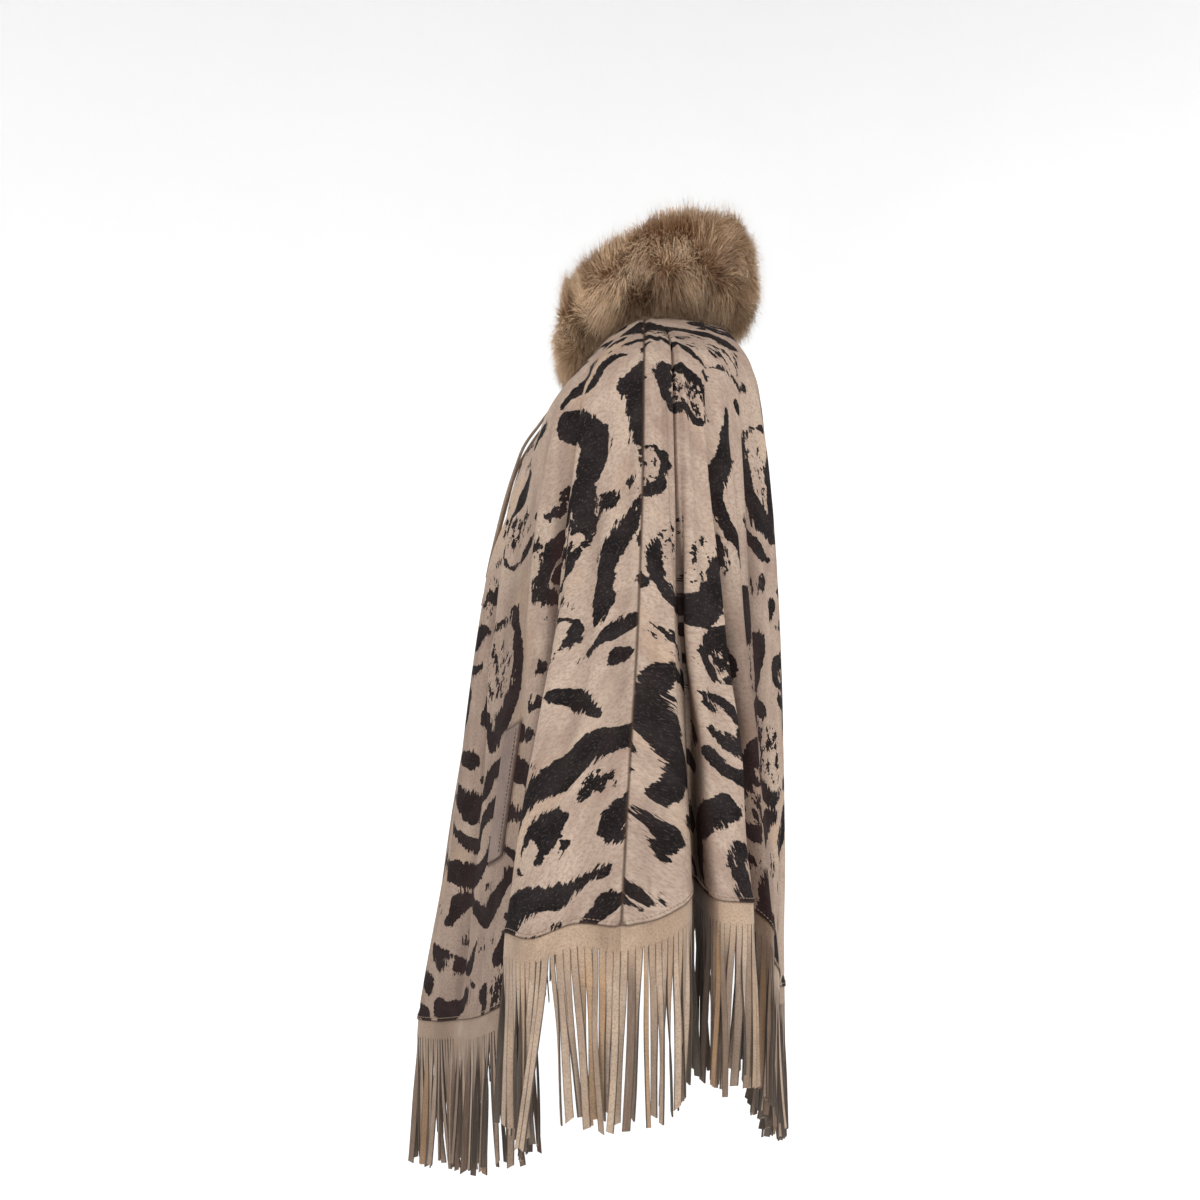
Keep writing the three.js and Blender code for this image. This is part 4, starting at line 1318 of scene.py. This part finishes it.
def add_fur(name, count, seed, reach, width, clump, wisps):
    """Hairs as thin tapered blades from the pelt to the roll's outline, joined into one mesh."""
    rng = np.random.default_rng(seed)
    b = rng.uniform(FIRST + 1.5, 360 - FIRST - 1.5, count)
    t = rng.uniform(0, 2 * math.pi, count)
    root = fur_point(b, t, PELT_SHARE, 2.0)
    # hairs lean together in tufts
    cell_b, cell_t = np.floor(b / TUFT_BEARING), np.floor(t / TUFT_TURN)
    tuft_b = (cell_b + 0.5 + 0.35 * np.sin(cell_t * 12.9)) * TUFT_BEARING
    tuft_t = (cell_t + 0.5 + 0.35 * np.sin(cell_b * 7.7)) * TUFT_TURN
    flow_b = 4.0 * scattered(root, 70, 5)
    flow_t = 0.30 * scattered(root, 46, 6)
    tip_b = b + flow_b + rng.normal(0, 2.0, count)
    tip_t = t + flow_t + rng.normal(0, 0.12, count) - 0.10 * np.sign(np.cos(t))
    pull = clump * rng.uniform(0.4, 1.0, count)
    tip_b = tip_b + (tuft_b + flow_b - tip_b) * pull
    tip_t = tip_t + (tuft_t + flow_t - tip_t) * pull
    tip_b = np.clip(tip_b, FIRST - 1.0, 360 - FIRST + 1.0)
    uneven = reach * rng.uniform(0.80, 1.06, count) * (1 + 0.06 * scattered(root, 34, 7))
    uneven = uneven + wisps * rng.uniform(0, 1, count) ** 2.6
    tip = fur_point(tip_b, tip_t, (1.0, 1.0), 0.5)
    tip = root + (tip - root) * uneven[:, None]
    # each hair bows out of the roll and a little upwards
    way = tip - root
    length = np.linalg.norm(way, axis=1, keepdims=True)
    outward = unit(root - fur_point(b, t, (0.05, 0.05), 0))
    bend = outward * 0.16 * length + np.array([0, 0, 1.0]) * 0.07 * length
    centres = [root + way * s + bend * (4 * s * (1 - s)) for s in BLADE_SHARES]
    across = unit(np.cross(way, rng.normal(size=(count, 3))))
    # each blade's face looks out of the roll, so it is lit from outside
    facing = np.sum(np.cross(across, way) * outward, axis=1, keepdims=True)
    across = across * np.where(facing < 0, -1, 1)
    wide = rng.uniform(0.7, 1.3, count)[:, None]
    points = np.empty((count, BLADE_POINTS, 3))
    for k, taper in enumerate(BLADE_TAPER):
        half = across * (width * taper) / 2 * wide
        points[:, 2 * k] = centres[k] - half
        points[:, 2 * k + 1] = centres[k] + half
    points[:, -1] = centres[-1]
    start = (np.arange(count) * BLADE_POINTS)[:, None]
    quads = np.concatenate([start + np.array([0, 1, 3, 2]), start + np.array([2, 3, 5, 4])])
    tris = start + np.array([4, 5, 6])
    obj = add_mesh(name, points.reshape(-1, 3), quads.tolist() + tris.tolist())
    store(obj, "tip", np.tile(np.repeat(BLADE_SHARES, 2)[:-1], count))
    tint = 0.50 + 0.42 * scattered(root, 62, 21) + 0.25 * scattered(root, 24, 22)
    tint = tint + rng.normal(0, 0.14, count)
    # paler along the top and at the front, where the hair's tips are turned out; this is also painted light,
    # as if the collar's top were lit
    tint += 0.50 * ease((root[:, 2] - 20) / 60) + 0.60 * ease((-10 - root[:, 1]) / 45)
    store(obj, "tint", np.repeat(np.clip(tint, 0, 1), BLADE_POINTS))
    # the fur is lit as a soft volume
    blade = unit(np.cross(way, across))
    blade *= np.sign(np.sum(blade * outward, axis=1))[:, None]
    normal = unit(outward * 0.75 + blade * 0.30 + rng.normal(0, 0.12, (count, 3)))
    obj.data.normals_split_custom_set_from_vertices(np.repeat(normal, BLADE_POINTS, axis=0).tolist())
    obj.data.materials.append(FUR)


# name, count, seed, reach, width in mm, clump, wisps
for row in (
    ("fur_under", 34000, 41, 0.80, 0.62, 0.45, 0.0),
    ("fur_middle", 36000, 42, 1.00, 0.44, 0.55, 0.16),
    ("fur_guard", 38000, 43, 1.08, 0.23, 0.20, 0.70),
):
    add_fur(*row)

# ---------- studio, in metres ----------
FLOOR = -1.45
FLOOR_REACH = 2.6  # where the floor starts to curve up
CURVE = 1.2  # the curve's radius
WALL_REACH = 3.8
STUDIO_STEPS = 72
MIDDLE = (0, 0, -0.35)
# name, place, size, power
LIGHTS = [
    ("key", (2.35, 0.2, 1.5), 0.9, 38),
    ("front_fill", (0.2, -2.8, 0.9), 1.8, 2),
    ("far_side", (-2.4, -1.2, 1.4), 1.0, 34),
    ("back_fill", (-0.6, 2.7, 1.0), 1.8, 4),
]


def add_studio():
    """A floor that curves up into a wall all round."""
    profile = [(FLOOR_REACH, FLOOR)]
    for a in np.linspace(0.15, math.pi / 2, 12):
        profile.append((FLOOR_REACH + CURVE * math.sin(a), FLOOR + CURVE * (1 - math.cos(a))))
    profile += [(WALL_REACH, 1.2), (WALL_REACH, 3.0)]
    points, faces = [(0, 0, FLOOR)], []
    for radius, height in profile:
        for a in 2 * math.pi * np.arange(STUDIO_STEPS) / STUDIO_STEPS:
            points.append((radius * math.cos(a), radius * math.sin(a), height))
    for k in range(STUDIO_STEPS):
        n = (k + 1) % STUDIO_STEPS
        faces.append([0, 1 + k, 1 + n])
        for ring in range(len(profile) - 1):
            a = 1 + ring * STUDIO_STEPS
            b = a + STUDIO_STEPS
            faces.append([a + k, b + k, b + n, a + n])
    obj = link_mesh("studio_floor", np.array(points) / MM, faces)
    obj.data.materials.append(studio_white())


def area_light(name, place, size, power):
    """A square light that faces the middle of the cape."""
    data = bpy.data.lights.new(name, "AREA")
    data.shape = "SQUARE"
    data.size = size
    data.energy = power
    obj = bpy.data.objects.new(name, data)
    obj.location = place
    obj.rotation_euler = (Vector(MIDDLE) - Vector(place)).to_track_quat("-Z", "Y").to_euler()
    bpy.context.scene.collection.objects.link(obj)


add_studio()
for light in LIGHTS:
    area_light(*light)
world = bpy.data.worlds.new("studio_world")
world.use_nodes = True
world.node_tree.nodes["Background"].inputs["Color"].default_value = (1, 1, 1, 1)
world.node_tree.nodes["Background"].inputs["Strength"].default_value = 0.10
bpy.context.scene.world = world
